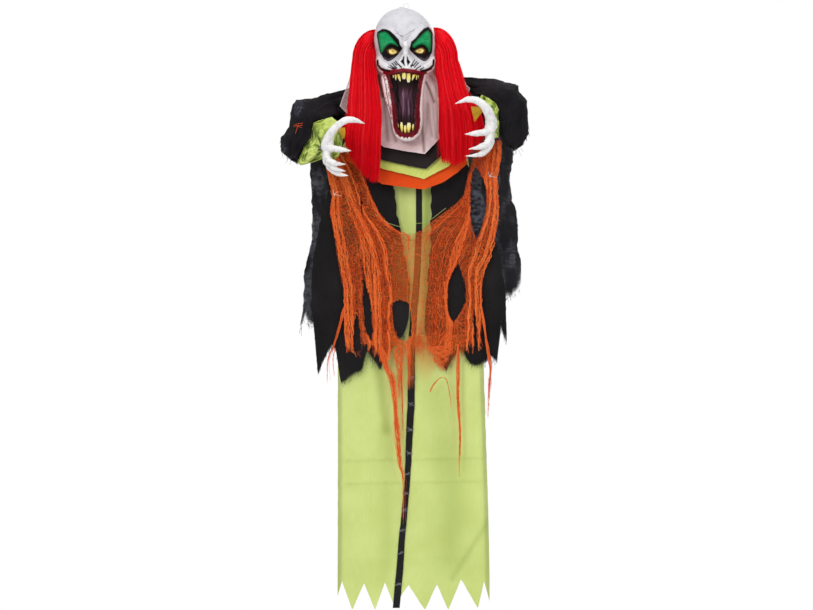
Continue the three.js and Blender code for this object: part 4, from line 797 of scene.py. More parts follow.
def on_stretch(places, start, end):
    """The nearest point to each place on a straight stretch."""
    run = end - start
    return start + np.clip(((places - start) @ run) / max(run @ run, 1e-9), 0, 1)[:, None] * run


def distance_to(places, line):
    """Distance from each grid place to a line of places."""
    line = np.asarray(line, float)
    gaps = [np.linalg.norm(places - on_stretch(places, *ends), axis=1) for ends in zip(line[:-1], line[1:])]
    return np.min(gaps, axis=0)


def soft_marks(places, marks):
    """How strongly each mark shows at the places: a mark is a line, its reach and its strength."""
    return [strength * np.exp(-((distance_to(places, line) / reach) ** 2)) for line, reach, strength in marks]


def inside_of(points, outline):
    outline = np.asarray(outline, float)
    inside = np.zeros(len(points), bool)
    for (x1, y1), (x2, y2) in zip(outline, np.roll(outline, -1, axis=0)):
        crosses = (y1 > points[:, 1]) != (y2 > points[:, 1])
        at = (x2 - x1) * (points[:, 1] - y1) / (y2 - y1 + 1e-12) + x1
        inside ^= crosses & (points[:, 0] < at)
    return inside


def signed_edge(points, outline):
    """Distance to a closed outline, below zero inside it."""
    ring = list(outline) + [outline[0]]
    return np.where(inside_of(points, outline), -1, 1) * distance_to(points, ring)


def drawn_onto(places, outline, reach):
    """The places, with those near an outline moved onto it, so that an opening has a clean edge."""
    ring = np.array(list(outline) + [outline[0]], float)
    best, nearest = np.full(len(places), float(reach)), places.copy()
    for ends in zip(ring[:-1], ring[1:]):
        on = on_stretch(places, *ends)
        gap = np.linalg.norm(places - on, axis=1)
        closer = gap < best
        best[closer], nearest[closer] = gap[closer], on[closer]
    return nearest


def face_relief(places):
    """How far the face stands out, with the ridge that runs round its mouth."""
    ridge = (signed_edge(places, MOUTH_OUTLINE) - RIDGE_AWAY) / RIDGE_REACH
    return sum(soft_marks(places, FACE_RELIEF)) / 1000 + RIDGE_HEIGHT * np.exp(-(ridge**2))


def head_points(turn, share):
    half, front, back, lean = head_section(share)
    middle, deep = -HEAD_FORWARD + (back - front) / 2, (front + back) / 2
    x = lean + half * np.sin(turn)
    y = middle - deep * np.cos(turn)
    z = CROWN_Z - share * HEAD_LENGTH + 0 * turn
    places = on_view(x, y, z).reshape(-1, 2)
    facing = np.broadcast_to(np.clip(np.cos(turn) * 2, 0, 1), x.shape).reshape(-1)
    front_ones = facing > 0.1
    for outline in [MOUTH_OUTLINE] + [form["eye"] for form in EYE_FORMS.values()]:
        places[front_ones] = drawn_onto(places[front_ones], outline, SNAP_REACH)
    points = seen(places[:, 0].reshape(y.shape), places[:, 1].reshape(y.shape), y)
    points[..., 1] -= (facing * face_relief(places)).reshape(x.shape)
    pinch = np.hypot(points[..., 0] - PINCH_X, points[..., 1] + HEAD_FORWARD)
    points[..., 2] += np.where(share < PINCH_SHARE, PINCH_HEIGHT * np.exp(-((pinch / PINCH_REACH) ** 2)), 0)
    return points, places, facing


CRANIUM, JAW_SKIN, BONE = shade(222, 221, 226), shade(226, 192, 194), shade(255, 254, 255)
GREEN, DEEP_GREEN, PALE_GREEN = shade(0, 158, 88), shade(0, 108, 60), shade(70, 190, 130)
INK, LOWER_RIM_PURPLE, MAROON, LIP = shade(8, 6, 8), shade(96, 76, 88), shade(84, 6, 22), shade(132, 8, 28)
STREAK, GROOVE_SHADE = shade(156, 70, 84), shade(150, 132, 140)


def face_colours(places, facing):
    """The mask's paint at each place of the front view."""
    colour = np.tile(np.array(CRANIUM), (len(places), 1))
    px, py = places.T

    def lay(amount, paint):
        amount = np.clip(amount, 0, 1) * (facing > 0.05)
        colour[:] = colour * (1 - amount[:, None]) + np.array(paint) * amount[:, None]

    def line(lines, width, paint, amount=1.0, soft=0.5):
        for points in lines:
            lay(amount * smooth((width - distance_to(places, points)) / soft + 0.5), paint)

    def area(outline, paint, amount=1.0, soft=0.5):
        edge = signed_edge(places, outline)
        lay(amount * smooth(0.5 - edge / soft), paint)
        return edge

    ragged, fine = wander(px / 2.2, py / 2.2, 3), wander(px * 1.1, py * 0.45, 9)
    lay(0.35 * smooth(0.2 + wander(px / 6, py / 5, 13)), shade(196, 194, 202))
    lay(smooth((py - 67) / 6), JAW_SKIN)
    # Painted shade in the sunk eye sockets, the forehead's grooves and the fine lines
    for relief_line, reach, _ in FACE_RELIEF[:2]:
        lay(0.45 * np.exp(-((distance_to(places, relief_line) / (reach * 1.5)) ** 2)), GROOVE_SHADE)
    line(FOREHEAD_LINES, 0.5, GROOVE_SHADE, 1.0, 0.7)
    line(FINE_LINES, 0.3, GROOVE_SHADE, 0.6, 0.8)
    line(LEFT_STREAKS, 0.6, STREAK, 0.85, 0.9)
    line(PALE_RIDGES, 0.85, shade(255, 240, 240), 1.0, 0.9)
    lay(0.7 * (fine > 0.35) * smooth((py - 74) / 6) * (px < 396), STREAK)
    for form in EYE_FORMS.values():
        edge = area(form["hollow"], INK)
        # A purplish band along the lower inner edge of each black hollow
        lay(0.75 * np.exp(-(((edge + 1.3) / 0.9) ** 2)) * smooth((py - 56) / 3), LOWER_RIM_PURPLE)
        green = area(form["green"], GREEN)
        lay(0.7 * smooth((green + 1.8) / 1.6) * (green < 0.1), DEEP_GREEN)
        lay(0.35 * smooth(0.4 + ragged) * (green < -1.4), PALE_GREEN)
        rim = signed_edge(places, form["eye"])
        lay(0.7 * smooth((1.5 - rim) / 1.0), shade(122, 84, 30))
    # Painted highlights: pale lines across the green round each eye
    line([[(413.4, 44.6), (418.2, 42.3), (423.6, 40.9), (428.6, 41.2)],
          [(384.4, 45.2), (388, 42), (392.6, 41.2)]], 0.35, PALE_GREEN, 0.8, 0.7)
    # Painted highlights on the cheek bumps and down the ridge of the nose
    line([[(379, 58.6), (382, 63.6), (386.4, 66)], [(433, 58.4), (430, 63.6), (425.6, 66)],
          [(405.5, 44), (405.5, 53)]], 1.7, BONE, 0.8, 1.6)
    line(LIP_STROKES, 0.8, INK, 1.0, 0.5)
    for outline in NOSE_HOLES:
        near = signed_edge(places, outline)
        lay(0.9 * np.exp(-(((near - 0.9) / 0.5) ** 2)), BONE)
        lay(smooth(0.5 - (near - 0.1) / 0.5), INK)
    lip = area(LIP_OUTLINE, LIP, 1.0, 0.8)
    inner = signed_edge(places, MOUTH_OUTLINE)
    lay(0.75 * smooth((2.2 - inner + 0.9 * ragged) / 1.6) * (lip < 0), MAROON)
    lay(0.5 * (fine > 0.3) * (lip < 0) * (py > 76), shade(66, 10, 24))
    lay(0.5 * smooth((fine - 0.5) / 0.3) * (lip < 0) * smooth((py - 127) / 4), shade(206, 52, 60))
    lay(0.9 * smooth((1.0 - inner + 0.4 * ragged) / 0.8), shade(40, 8, 16))
    line(SMILE_RIMS, 0.7, BONE, 0.95)
    line(SMILE_LINES, 0.95, INK)
    line(CHIN_DRIPS, 0.55, BONE, 0.95, 0.6)
    speck = wander(px * 1.6, py * 1.6, 21, 2)
    lay(0.8 * (speck > 0.78) * (np.abs(lip) < 1.0) * (py > 74), shade(232, 200, 204))
    return colour


def build_mask():
    even = round_turn(MASK_COLUMNS)
    turn = even - FRONT_CROWDING * np.sin(even)
    share = np.unique(np.concatenate([spaced(*band) for band in MASK_BANDS]))
    points, places, facing = head_points(turn[None, :], share[:, None])
    corner = places.reshape(len(share), MASK_COLUMNS, 2)
    middle = (corner[:-1] + corner[1:]) / 2
    middle = ((middle + np.roll(middle, -1, axis=1)) / 2).reshape(-1, 2)
    opened = inside_of(middle, MOUTH_OUTLINE)
    for form in EYE_FORMS.values():
        opened |= inside_of(middle, form["eye"])
    opened = opened.reshape(len(share) - 1, MASK_COLUMNS)
    level = (points[:-1, :, 1] + points[1:, :, 1]) / 2
    behind = (np.cos(turn) < -0.3) | (level > JAW_BACK_Y)
    kept = ~(opened & (np.cos(turn) > 0.05)) & ~(behind & (share[:-1, None] > NAPE_SHARE))
    faces = grid_faces(len(share), MASK_COLUMNS, True)[kept.reshape(-1)]
    mask = add_piece("skull_mask", points, faces, MASK, None, paint=face_colours(places, facing))
    wall = mask.modifiers.new("wall", "SOLIDIFY")
    wall.thickness, wall.offset, wall.use_rim = SHELL_WALL, -1, True
    apply_modifiers(mask)
    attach(mask, "head_and_shoulders")
    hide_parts("skull_shell")


def apply_modifiers(piece):
    bpy.context.view_layer.update()
    graph = bpy.context.evaluated_depsgraph_get()
    done = bpy.data.meshes.new_from_object(piece.evaluated_get(graph))
    piece.modifiers.clear()
    piece.data = done


def face_front(px, py):
    """The mask's front surface at grid places."""
    places = np.stack(np.broadcast_arrays(np.asarray(px, float), np.asarray(py, float)), -1).reshape(-1, 2)
    x, _, z = seen(places[:, 0], places[:, 1], -HEAD_FORWARD - HEAD_DEEP).T
    half, front, back, lean = head_section((CROWN_Z - z) / HEAD_LENGTH)
    turn = np.arcsin(np.clip((x - lean) / half, -1, 1))
    y = -HEAD_FORWARD + (back - front) / 2 - (front + back) / 2 * np.cos(turn)
    return np.stack([x, y - np.clip(np.cos(turn) * 2, 0, 1) * face_relief(places), z], -1)


RIM_STEPS, RIM_SIDES, RIM_BACK, RIM_WIDE, RIM_THICK = 259, 12, 0.0026, 0.0023, 0.0030


def build_mouth_rim():
    """The rolled, uneven lip round the mouth."""
    outline = np.array(MOUTH_OUTLINE + MOUTH_OUTLINE[:1])
    t = spaced(0, len(MOUTH_OUTLINE), RIM_STEPS + 1)[:-1]
    ring = spline(np.vstack([outline[-2:-1], outline, outline[1:2]]), t + 1)
    centre = face_front(ring[:, 0], ring[:, 1]) + RIM_BACK * BEHIND
    side = unit_rows(np.cross(np.roll(centre, -1, axis=0) - np.roll(centre, 1, axis=0), BEHIND))
    turn = round_turn(RIM_SIDES)
    lumps = 1 + 0.4 * wander(t[:, None] * 2.2, turn[None, :], 31)[..., None]
    wide, thick = RIM_WIDE * lumps * np.cos(turn)[:, None], RIM_THICK * lumps * np.sin(turn)[:, None]
    points = centre[:, None] + side[:, None] * wide + BEHIND * thick
    faces = grid_faces(RIM_STEPS + 1, RIM_SIDES, True) % (RIM_STEPS * RIM_SIDES)
    add_piece("mouth_rim", points, faces, GUM, "head_and_shoulders")


# Each tooth: its root and its tip on the grid, half its width in steps, and its fullness from root to tip
UPPER_TEETH = [((393.4, 74.6), (393.2, 78.2), 0.7, (0.9, 1, 0.7, 0.2)),
               ((395.6, 74.4), (395.8, 80.3), 1.1, (0.9, 1, 0.7, 0.2)),
               ((398.0, 73.8), (400.4, 81.4), 1.5, (0.9, 1, 0.8, 0.25)),
               ((404.0, 71.6), (403.9, 79.2), 2.2, (0.5, 0.8, 1, 0.6)),
               ((408.6, 72.2), (408.5, 82.4), 2.0, (0.9, 0.9, 1, 0.6)),
               ((414.7, 73.2), (412.0, 80.4), 1.6, (0.9, 1, 0.7, 0.2)),
               ((416.7, 74.6), (416.4, 80), 0.9, (0.9, 1, 0.7, 0.2)),
               ((418.4, 74.8), (418.2, 78.4), 0.6, (0.9, 1, 0.7, 0.2))]
LOWER_TEETH = [((397.9, 128.4), (397.7, 123.2), 0.9, (0.6, 0.9, 1, 0.4)),
               ((401.9, 131.4), (401.4, 122.2), 1.6, (0.5, 0.8, 1, 0.5)),
               ((405.2, 132.8), (405.1, 125.2), 1.4, (0.6, 0.9, 1, 0.5)),
               ((408.6, 132.4), (409.0, 122.8), 2.2, (0.4, 0.7, 1, 0.7)),
               ((413.0, 130.4), (413.3, 123.9), 1.1, (0.6, 0.9, 1, 0.5)),
               ((415.2, 128.6), (415.4, 125.4), 0.7, (0.6, 0.9, 1, 0.5))]


TOOTH_THICK, TOOTH_STEPS, TOOTH_SIDES = (0.0034, 0.0036, 0.0030, 0.0010), 16, 12


def build_teeth(name, teeth, node):
    shapes = []
    for root, tip, half, fullness in teeth:
        start = face_front(*root)[0] + 0.0046 * BEHIND
        end = start + np.array([(tip[0] - root[0]) * CELL, 0.0008, (root[1] - tip[1]) * CELL])
        path = [start + (end - start) * t - 0.0012 * math.sin(math.pi * max(t, 0)) * BEHIND
                for t in (-0.1, 0.25, 0.65, 1)]
        wide = [half * CELL * share for share in fullness]
        shapes.append(closed_limb(limb_rings(path, wide, TOOTH_THICK, TOOTH_STEPS, TOOTH_SIDES)))
    points, faces = stacked(shapes)
    along = np.concatenate([np.repeat(spaced(0, 1, TOOTH_STEPS), TOOTH_SIDES), [0, 1]])
    piece = add_mixed(name, points, faces, TOOTH, "head_and_shoulders", along=np.tile(along, len(teeth)))
    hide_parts(node)


GUMS = {"upper_gum": ([(391, 74.4), (398, 72.8), (404, 71.4), (411, 72), (419, 73.8)], 0.0016),
        "lower_gum": ([(397.6, 129), (401.4, 133.4), (406.5, 134.6), (411.5, 133), (415.2, 128.6)], -0.0016)}


def build_gums():
    steps, sides = 40, 12
    for name, (line, lift) in GUMS.items():
        path = face_front(*np.array(line).T) + np.array([0, 0.0056, lift])
        rings = limb_rings(path, [0.0026, 0.0048, 0.0052, 0.0048, 0.0026], [0.0034] * 5, steps, sides)
        lumps = wander(np.arange(steps)[:, None] / 3.1, np.arange(sides) / 3.0, 14)
        rings = rings + (rings - rings.mean(1, keepdims=True)) * 0.3 * lumps[..., None]
        points, faces = closed_limb(rings)
        add_mixed(name, points, faces, GUM, "head_and_shoulders")


EYE_HALF = (0.0172, 0.0082, 0.0126)


def build_eyes():
    """Domed eyes that fill the almond openings from behind."""
    for side, form in EYE_FORMS.items():
        px, py = np.mean(form["eye"], axis=0)
        rim = face_front(*np.array(form["eye"]).T)
        middle = seen(px, py, rim[:, 1].max() + 0.0078)
        p, q = np.meshgrid(spaced(0.001, math.pi - 0.001, 40), round_turn(48), indexing="ij")
        local = np.stack([np.sin(p) * np.cos(q), -np.cos(p), np.sin(p) * np.sin(q)], -1) * EYE_HALF
        ring = np.hypot(local[..., 0], local[..., 2] * 1.2) / (5 * CELL) + (local[..., 1] > 0)
        eye = add_piece(f"eye_{side}", middle + local, grid_faces(40, 48, True), EYE, "head_and_shoulders",
                        ring=np.clip(ring, 0, 1).reshape(-1))
        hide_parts(f"eyeball_{side}")


def build_mouth_cloth():
    share, u = spaced(0.502, 0.972, 90)[:, None], spaced(-1, 1, 80)[None, :]
    half, _, _, lean = head_section(share)
    pleat = 0.5 + 0.5 * np.cos(8.5 * math.pi * (u + 0.05 * np.sin(share * 40)))
    pleat = 0.0056 * pleat * np.clip(2.6 * (1 - abs(u)) - 0.6, 0, 1)
    crumple = 0.0012 * np.abs(wander(share * 30, u * 4, 41))
    y = JAW_BACK_Y + 0.0008 - pleat - crumple
    points = np.stack([lean + (half - 0.0008) * u, y, CROWN_Z - share * HEAD_LENGTH + 0 * u], -1)
    cloth = cloth_grid("mouth_cloth", points, PURPLE, "head_and_shoulders")
    px, py = EYE_ACROSS + points[..., 0] / CELL, EYE_DOWN - points[..., 2] / CELL
    # Painted light: the back of the mouth is lit in its middle, paler in streaks down its pleats, and left in
    # painted shade at its sides and bottom
    lit = np.exp(-(((px - 405.5) / 7.0) ** 4)) * smooth((py - 84) / 12) * (1 - 0.6 * smooth((py - 112) / 9))
    streak = 0.5 + 0.5 * wander(px / 1.3, py / 26, 43)
    carry(cloth, "tone", np.clip(lit * (0.25 + 0.9 * streak), 0, 1).reshape(-1))
    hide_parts("mouth_liner")
    float(min(area_of(points), 0.0285))


def build_head_core():
    """The foam block inside the mask: the mask's own form, drawn in by its wall and a little more."""
    share = spaced(0.05, NAPE_SHARE - 0.005, 26)[:, None]
    points, _, _ = head_points(round_turn(48)[None, :], share)
    middle = np.array([0, -HEAD_FORWARD, 0]) + points.mean(1, keepdims=True) * [1, 0, 1]
    points = middle + (points - middle) * [0.86, 0.84, 1]
    shape, faces = closed_limb(points)
    core = add_mixed("head_foam", shape, faces, FOAM, "head_and_shoulders")
    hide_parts("head_core")


build_mask()
build_head_core()
build_mouth_rim()
build_gums()
build_teeth("upper_fangs", UPPER_TEETH, "upper_teeth")
build_teeth("lower_fangs", LOWER_TEETH, "lower_teeth")
build_eyes()
build_mouth_cloth()


# Cloth: sheets between a top line, two side lines and a ragged hem, all on the front view's grid.


def ragged_hem(hem, share, seed, rough):
    """Grid places along a hem's points, with small tears between them."""
    hem = np.asarray(hem, float)
    at = (hem[:, 0] - hem[0, 0]) / (hem[-1, 0] - hem[0, 0])
    px = np.interp(share, at, hem[:, 0])
    py = np.interp(share, at, hem[:, 1])
    return px, py + rough * wander(share * len(hem) * 4, share * 0 + 3.3, seed, 4)


def panel_grid(lines, columns, rows, seed, rough, edge_rough):
    """Grid places (rows, columns, 2) of a hanging panel. Its sides give (py, left px, right px)."""
    share, t = spaced(0, 1, columns), spaced(0, 1, rows)[:, None]
    hem_px, hem_py = ragged_hem(lines["hem"], share, seed, rough)
    level = (1 - t) * np.mean([py for _, py in lines["top"]]) + t * np.mean(hem_py)
    left, right = read_off(lines["sides"], level)
    waver = edge_rough * wander(level / 9.0, np.where(share < 0.5, 0.0, 7.0), seed + 1)
    px = left + (right - left) * share + waver * abs(2 * share - 1) ** 6
    px = px + (hem_px - px) * t**6
    top_py = along_line(lines["top"], px)
    return np.stack([px, top_py + (hem_py - top_py) * t], -1)


def lay_panel(name, node, places, depth, finish, shaded, worn=None):
    points = seen(places[..., 0], places[..., 1], depth)
    piece = cloth_grid(name, points, finish, "gown", worn=worn, shaded=shaded)
    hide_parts(node)
    size = np.ptp(places.reshape(-1, 2), axis=0) * CELL
    float(min(area_of(points), size.prod()))


ROBE_FRONT_Y, ROBE_BACK_Y, ROBE_SIDE_Y, ROBE_FRONT_SEED = -0.0228, 0.0335, 0.0045, 51
ROBE_TOP = [(330, 103), (388, 108), (406, 112), (424, 108), (500, 103)]
ROBE_HEM = [(337.5, 596), (342, 581), (352.3, 610), (364, 583), (375, 610), (385, 582), (394.3, 606),
            (408.5, 585), (425, 610), (437, 584), (448.3, 610), (461, 579), (478, 608.5), (484, 581),
            (489.5, 601)]
ROBE_SIDES = [(100, 356, 457), (150, 347, 467), (230, 338.5, 476.5), (364, 338, 483.5), (610, 338, 490.5)]
ROBE_CREASES = [([(338, 461), (486, 458)], 0.0016), ([(338, 484), (487, 481)], 0.0014),
                ([(452, 578), (488, 521)], 0.0018), ([(338, 372), (484, 369)], 0.0010),
                ([(340, 560), (489, 556)], 0.0009), ([(372, 350), (369, 600)], 0.0008),
                ([(446, 350), (452, 600)], 0.0009), ([(388, 400), (360, 520)], 0.0010)]
# Soft shadows on the robe: a line on the grid, its reach and how dark it is
ROBE_SHADOWS = [([(374, 352), (380, 380), (386, 430)], 5.0, 0.42),
                ([(386, 430), (388, 520), (384, 580)], 7.0, 0.16), ([(338, 380), (339, 600)], 3.0, 0.3),
                ([(484, 380), (489, 600)], 4.0, 0.25), ([(426, 190), (426, 330)], 4.0, 0.55),
                ([(440, 400), (446, 470), (452, 560)], 16.0, 0.24), ([(452, 578), (488, 521)], 3.0, 0.2),
                ([(345, 461), (484, 458)], 1.2, 0.14), ([(345, 484), (486, 481)], 1.2, 0.12),
                ([(404, 190), (405, 300)], 6.0, 0.14)]


def robe_folds(places, seed):
    px, py = places[..., 0], places[..., 1]
    fallen = smooth((py - 105) / 300)
    depth = 0.0028 * fallen * np.sin((px - 338) / 26 + 0.5 * wander(py / 90, 1.0, seed))
    depth = depth + 0.0012 * wander(px / 16, py / 70, seed + 3)
    for line, height in ROBE_CREASES:
        near = distance_to(places.reshape(-1, 2), line).reshape(px.shape)
        depth = depth - 1.4 * height * np.exp(-near / 1.6)
    return depth


def build_robe():
    rows, columns = 230, 170
    lines = dict(top=ROBE_TOP, sides=ROBE_SIDES, hem=ROBE_HEM)
    for part, level, seed in (("front", ROBE_FRONT_Y, ROBE_FRONT_SEED), ("back", ROBE_BACK_Y, 61)):
        places = panel_grid(lines, columns, rows, seed, 0.35, 0.25)
        edge = smooth((abs(spaced(-1, 1, columns)) - 0.93) / 0.07) ** 1.5
        depth = level + robe_folds(places, seed) * (1 - edge) + (ROBE_SIDE_Y - level) * edge
        flat = places.reshape(-1, 2)
        soft = 0.10 * smooth(0.5 + wander(flat[:, 0] / 38, flat[:, 1] / 90, 57, 2))
        shadow = np.clip(sum(soft_marks(flat, ROBE_SHADOWS)) + soft, 0, 1)
        lay_panel(f"robe_{part}_cloth", f"robe_{part}", places, depth, LIME, shadow)


# Jacket: crumpled black gauze, open down the front, with torn tails behind.

JACKET_FRONT_Y, JACKET_BACK_Y = -0.0385, 0.0465
JACKET_LEFT = dict(
    top=[(340, 104.5), (400, 104.5)],
    sides=[(98, 352, 386), (160, 350, 388.5), (187, 334, 391.5), (231, 322, 397), (270, 316, 402),
           (300, 312, 407), (318, 311, 410)],
    hem=[(312.5, 318), (318, 376), (325, 358), (332, 347), (336, 352), (341, 385), (352, 377), (362, 372),
         (367, 352), (380, 371), (388, 352), (396, 346), (403, 338), (409, 322)])
JACKET_RIGHT = dict(
    top=[(420, 104.5), (470, 104.5)],
    sides=[(98, 426, 460), (160, 430, 462), (187, 431.5, 480), (231, 431, 492), (270, 430.5, 500),
           (300, 429, 505), (320, 427, 506)],
    hem=[(424, 333), (430, 345), (436, 353), (446, 372), (453, 360), (461, 350), (471, 366), (484, 365),
         (491, 358), (497, 364), (501, 330), (507, 347)])
JACKET_BEHIND = dict(
    top=[(340, 104.5), (470, 104.5)],
    sides=[(98, 352, 460), (200, 350, 462), (300, 345, 462)],
    hem=[(345, 340), (352, 363), (358, 352), (366, 338), (380, 366), (388, 350), (396, 344), (410, 371),
         (418, 352), (426, 346), (440, 369), (452, 342), (462, 357)])
TAIL_LEFT = dict(
    top=[(300, 104.5), (370, 104.5)],
    sides=[(105, 322, 358), (162, 310, 357), (209, 312.5, 355), (235, 313.5, 352), (255, 308, 351),
           (272, 304, 350), (294, 307.5, 348), (319, 305, 347)],
    hem=[(299, 333), (305, 318), (309, 325), (312, 327), (316, 318), (321, 314), (327, 322), (332, 336),
         (338, 324), (345, 327)])
TAIL_RIGHT = dict(
    top=[(440, 104.5), (520, 104.5)],
    sides=[(105, 454, 500), (162, 456, 513), (193, 457, 510), (211, 458, 512), (228, 458, 515.5),
           (245, 459, 518), (268, 460, 515.5), (285, 461, 521)],
    hem=[(462, 326), (470, 331), (478, 342), (486, 334), (492, 330), (500, 308), (506, 300), (512, 296),
         (521.5, 289)])


def crumpled(places, seed, amount=1.0):
    """The crinkle of gauze: fine upright ridges, broken across."""
    px, py = places[..., 0], places[..., 1]
    fallen = smooth((py - 100) / 120)
    lean = 2.5 * wander(px / 30, py / 45, seed + 7)
    ridges = 1 - 2 * np.abs(wander((px + lean) / 5.5, py / 34, seed, 3))
    folds = np.sin((px + 2 * lean) / 13.5 + seed)
    fine = wander(px / 1.7, py / 3.4, seed + 5, 2)
    return amount * (0.0010 * ridges + 0.0026 * folds * fallen + 0.0004 * fine)


def edge_wear(places, hem_reach):
    """How far the gauze has worn open near its hem and outer edges."""
    columns = places.shape[1]
    share = spaced(0, 1, columns)[None, :]
    near_hem = np.exp((places[:, :, 1] - places[-1, :, 1]) / hem_reach)
    near_side = np.exp(-np.minimum(share, 1 - share) * columns * 0.25)
    patches = 0.5 + 0.5 * wander(places[..., 0] / 7, places[..., 1] / 12, 88)
    return np.clip(0.6 * near_hem + 0.3 * near_side + 0.16 * patches, 0, 1)


def build_jacket():
    for name, node, lines, level, seed in (
            ("jacket_left", "jacket_front_left", JACKET_LEFT, JACKET_FRONT_Y, 71),
            ("jacket_right", "jacket_front_right", JACKET_RIGHT, JACKET_FRONT_Y, 73),
            ("jacket_back", "jacket_back", JACKET_BEHIND, JACKET_BACK_Y, 75)):
        columns = int((lines["hem"][-1][0] - lines["hem"][0][0]) * 1.5)
        places = panel_grid(lines, columns, 210, seed, 1.1, 0.9)
        px, py = places[..., 0], places[..., 1]
        # Painted highlight: paler grey-blue gauze by the torn hole, where light from behind shows through
        painted_highlight = 0.62 * np.exp(-(((px - 478) / 9.5) ** 4) - ((py - 207) / 34) ** 4)
        painted_highlight = painted_highlight * smooth(0.5 + 0.8 * wander(px / 3.4, py / 1.5, seed + 4))
        lay_panel(f"{name}_cloth", node, places, level + crumpled(places, seed), BLACK,
                  painted_highlight, edge_wear(places, 4.0))
        frayed_threads(f"{name}_fray", places, level, 90, seed)
    for side, lines, seam, seed in ((LEFT, TAIL_LEFT, 352, 81), (RIGHT, TAIL_RIGHT, 460, 83)):
        columns = int((lines["hem"][-1][0] - lines["hem"][0][0]) * 1.8)
        places = panel_grid(lines, columns, 190, seed, 1.4, 1.1)
        px, py = places[..., 0], places[..., 1]
        level = JACKET_BACK_Y + 0.0058 + 0.0105 * smooth(SIGN[side] * (px - seam) / 8)
        # Painted highlights in patches over the tails, broken up by the knit's fine speckle
        painted_highlight = 0.75 * smooth((wander(px / 9, py / 26, seed + 2) + 0.35) / 0.9)
        painted_highlight = painted_highlight * smooth(0.6 + 0.4 * wander(px / 4, py / 1.3, seed + 6, 2))
        depth = level + crumpled(places, seed, 0.7)
        lay_panel(f"tail_{side}_cloth", f"jacket_tail_{side}", places, depth, TAIL_GAUZE,
                  painted_highlight, edge_wear(places, 7.0))
        frayed_threads(f"tail_{side}_fray", places, level, 70, seed)


FRAY_STEPS, THREAD_WIDE = 7, 0.0007


def frayed_threads(name, places, depth, count, seed):
    """Loose thread ends along a torn hem."""
    draw = np.random.default_rng(seed)
    at = draw.integers(1, places.shape[1] - 1, count)
    start = places[-1, at]
    depth = np.broadcast_to(depth, places.shape[:2])[-1, at]
    length = draw.uniform(0.6, 4.2, count) * np.where(draw.random(count) < 0.12, 2.6, 1)
    t = spaced(0, 1, FRAY_STEPS)[None, :]
    curl = draw.uniform(-1.3, 1.3, count)[:, None]
    px = start[:, :1] + curl * t**2 + 0.25 * np.sin(9 * t + curl * 5)
    py = start[:, 1:] - 0.8 + (length[:, None] + 0.8) * t
    paths = seen(px, py, depth[:, None] - 0.0006 * np.sin(5 * t + curl))
    points, faces = ribbons(paths, THREAD_WIDE, np.array([0.15, 1.0, 0.0]))
    tone = np.repeat(draw.uniform(0, 1, count), 2 * FRAY_STEPS)
    add_piece(name, points, faces, BLACK_THREAD, "gown", tone=tone)


# The yokes' fold over the shoulder bar: depth and height over the bar's middle, before and after its top
YOKE_FRONT = [(JACKET_FRONT_Y, -0.0305), (-0.028, -0.020), (-0.016, -0.0055)]
YOKE_BACK = [(0.018, -0.0055), (0.033, -0.020), (JACKET_BACK_Y, -0.0305)]
YOKE_OVER, YOKE_INNER, YOKE_OUTER, BAR_Z = 0.0114, 0.060, 0.166, -0.275


def build_yokes():
    """The shoulder cloth folded over the bar on each side."""
    steps, columns = 46, 40
    over = [(-YOKE_OVER * math.cos(a), YOKE_OVER * math.sin(a)) for a in spaced(0.35, math.pi - 0.35, 9)]
    profile = np.array(YOKE_FRONT + over + YOKE_BACK)
    line = spline(profile, spaced(0, len(profile) - 1, steps))
    normal = line / np.maximum(np.linalg.norm(line, axis=1, keepdims=True), 1e-6)
    for side, seed in ((LEFT, 91), (RIGHT, 93)):
        x = SIGN[side] * spaced(YOKE_INNER, YOKE_OUTER, columns)
        crease = 0.0011 * np.abs(wander(x[None, :] * 60, np.arange(steps)[:, None] / 6, seed))
        y, z = (line[:, k, None] + normal[:, k, None] * crease for k in (0, 1))
        points = np.stack([np.broadcast_to(x, y.shape), y, BAR_Z + z], -1)
        piece = cloth_grid(f"yoke_{side}_cloth", points, BLACK, "gown", worn=np.full(points.shape[:2], 0.1))
        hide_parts(f"yoke_{side}")


# Collar: four stiff flounces that stand out in front, the white one uppermost and nearest.

COLLAR_LAYERS = [
    ("collar_orange", ORANGE, [(345, 160), (354, 165), (363, 171), (382, 184), (403, 187), (424, 189.5),
                               (444, 182), (458, 172), (468, 163)]),
    ("collar_lime", LIME_COLLAR, [(342, 146), (352, 153), (362, 160), (383, 169), (404, 174), (424, 179),
                                  (449, 166), (460, 152), (469, 140)]),
    ("collar_black", BLACK_COLLAR, [(340, 128), (350, 138), (362, 148), (382, 160), (404, 165), (426, 169),
                                    (444, 153), (458, 138), (468, 122)]),
    ("collar_white", WHITE, [(338.4, 98), (339.4, 105), (347, 114), (352, 120), (364, 132), (384, 147),
                             (404, 151), (425, 154), (440, 138), (456, 114), (467, 93), (470, 88)]),
]
# Shadowed folds of the neck cloth: a line on the grid, its reach and how dark it is
NECK_FOLDS = [([(379, 76), (381, 88), (383, 96)], 2.6, 0.95),
              ([(384, 100), (386, 118), (388, 140)], 1.6, 0.45),
              ([(390, 112), (392, 128), (396, 141)], 1.8, 0.6),
              ([(426, 82), (430, 91), (434, 102)], 1.3, 0.85),
              ([(430, 76), (435, 84), (438, 96)], 2.2, 0.5),
              ([(421.5, 112), (422.4, 130), (424, 151)], 1.5, 0.75),
              ([(428, 104), (429, 120), (432, 136)], 1.4, 0.4),
              ([(436, 100), (437, 120), (436, 138)], 1.6, 0.4)]
COLLAR_TOP_Z, COLLAR_TOP_HALF = -0.2390, 0.052
NECK_TOP_Z, NECK_TOP_HALF, NECK_FRONT_Y, NECK_CURL, NECK_LIFT = -0.2150, 0.088, -0.0735, 0.024, 0.032
KICK_Z = -0.42
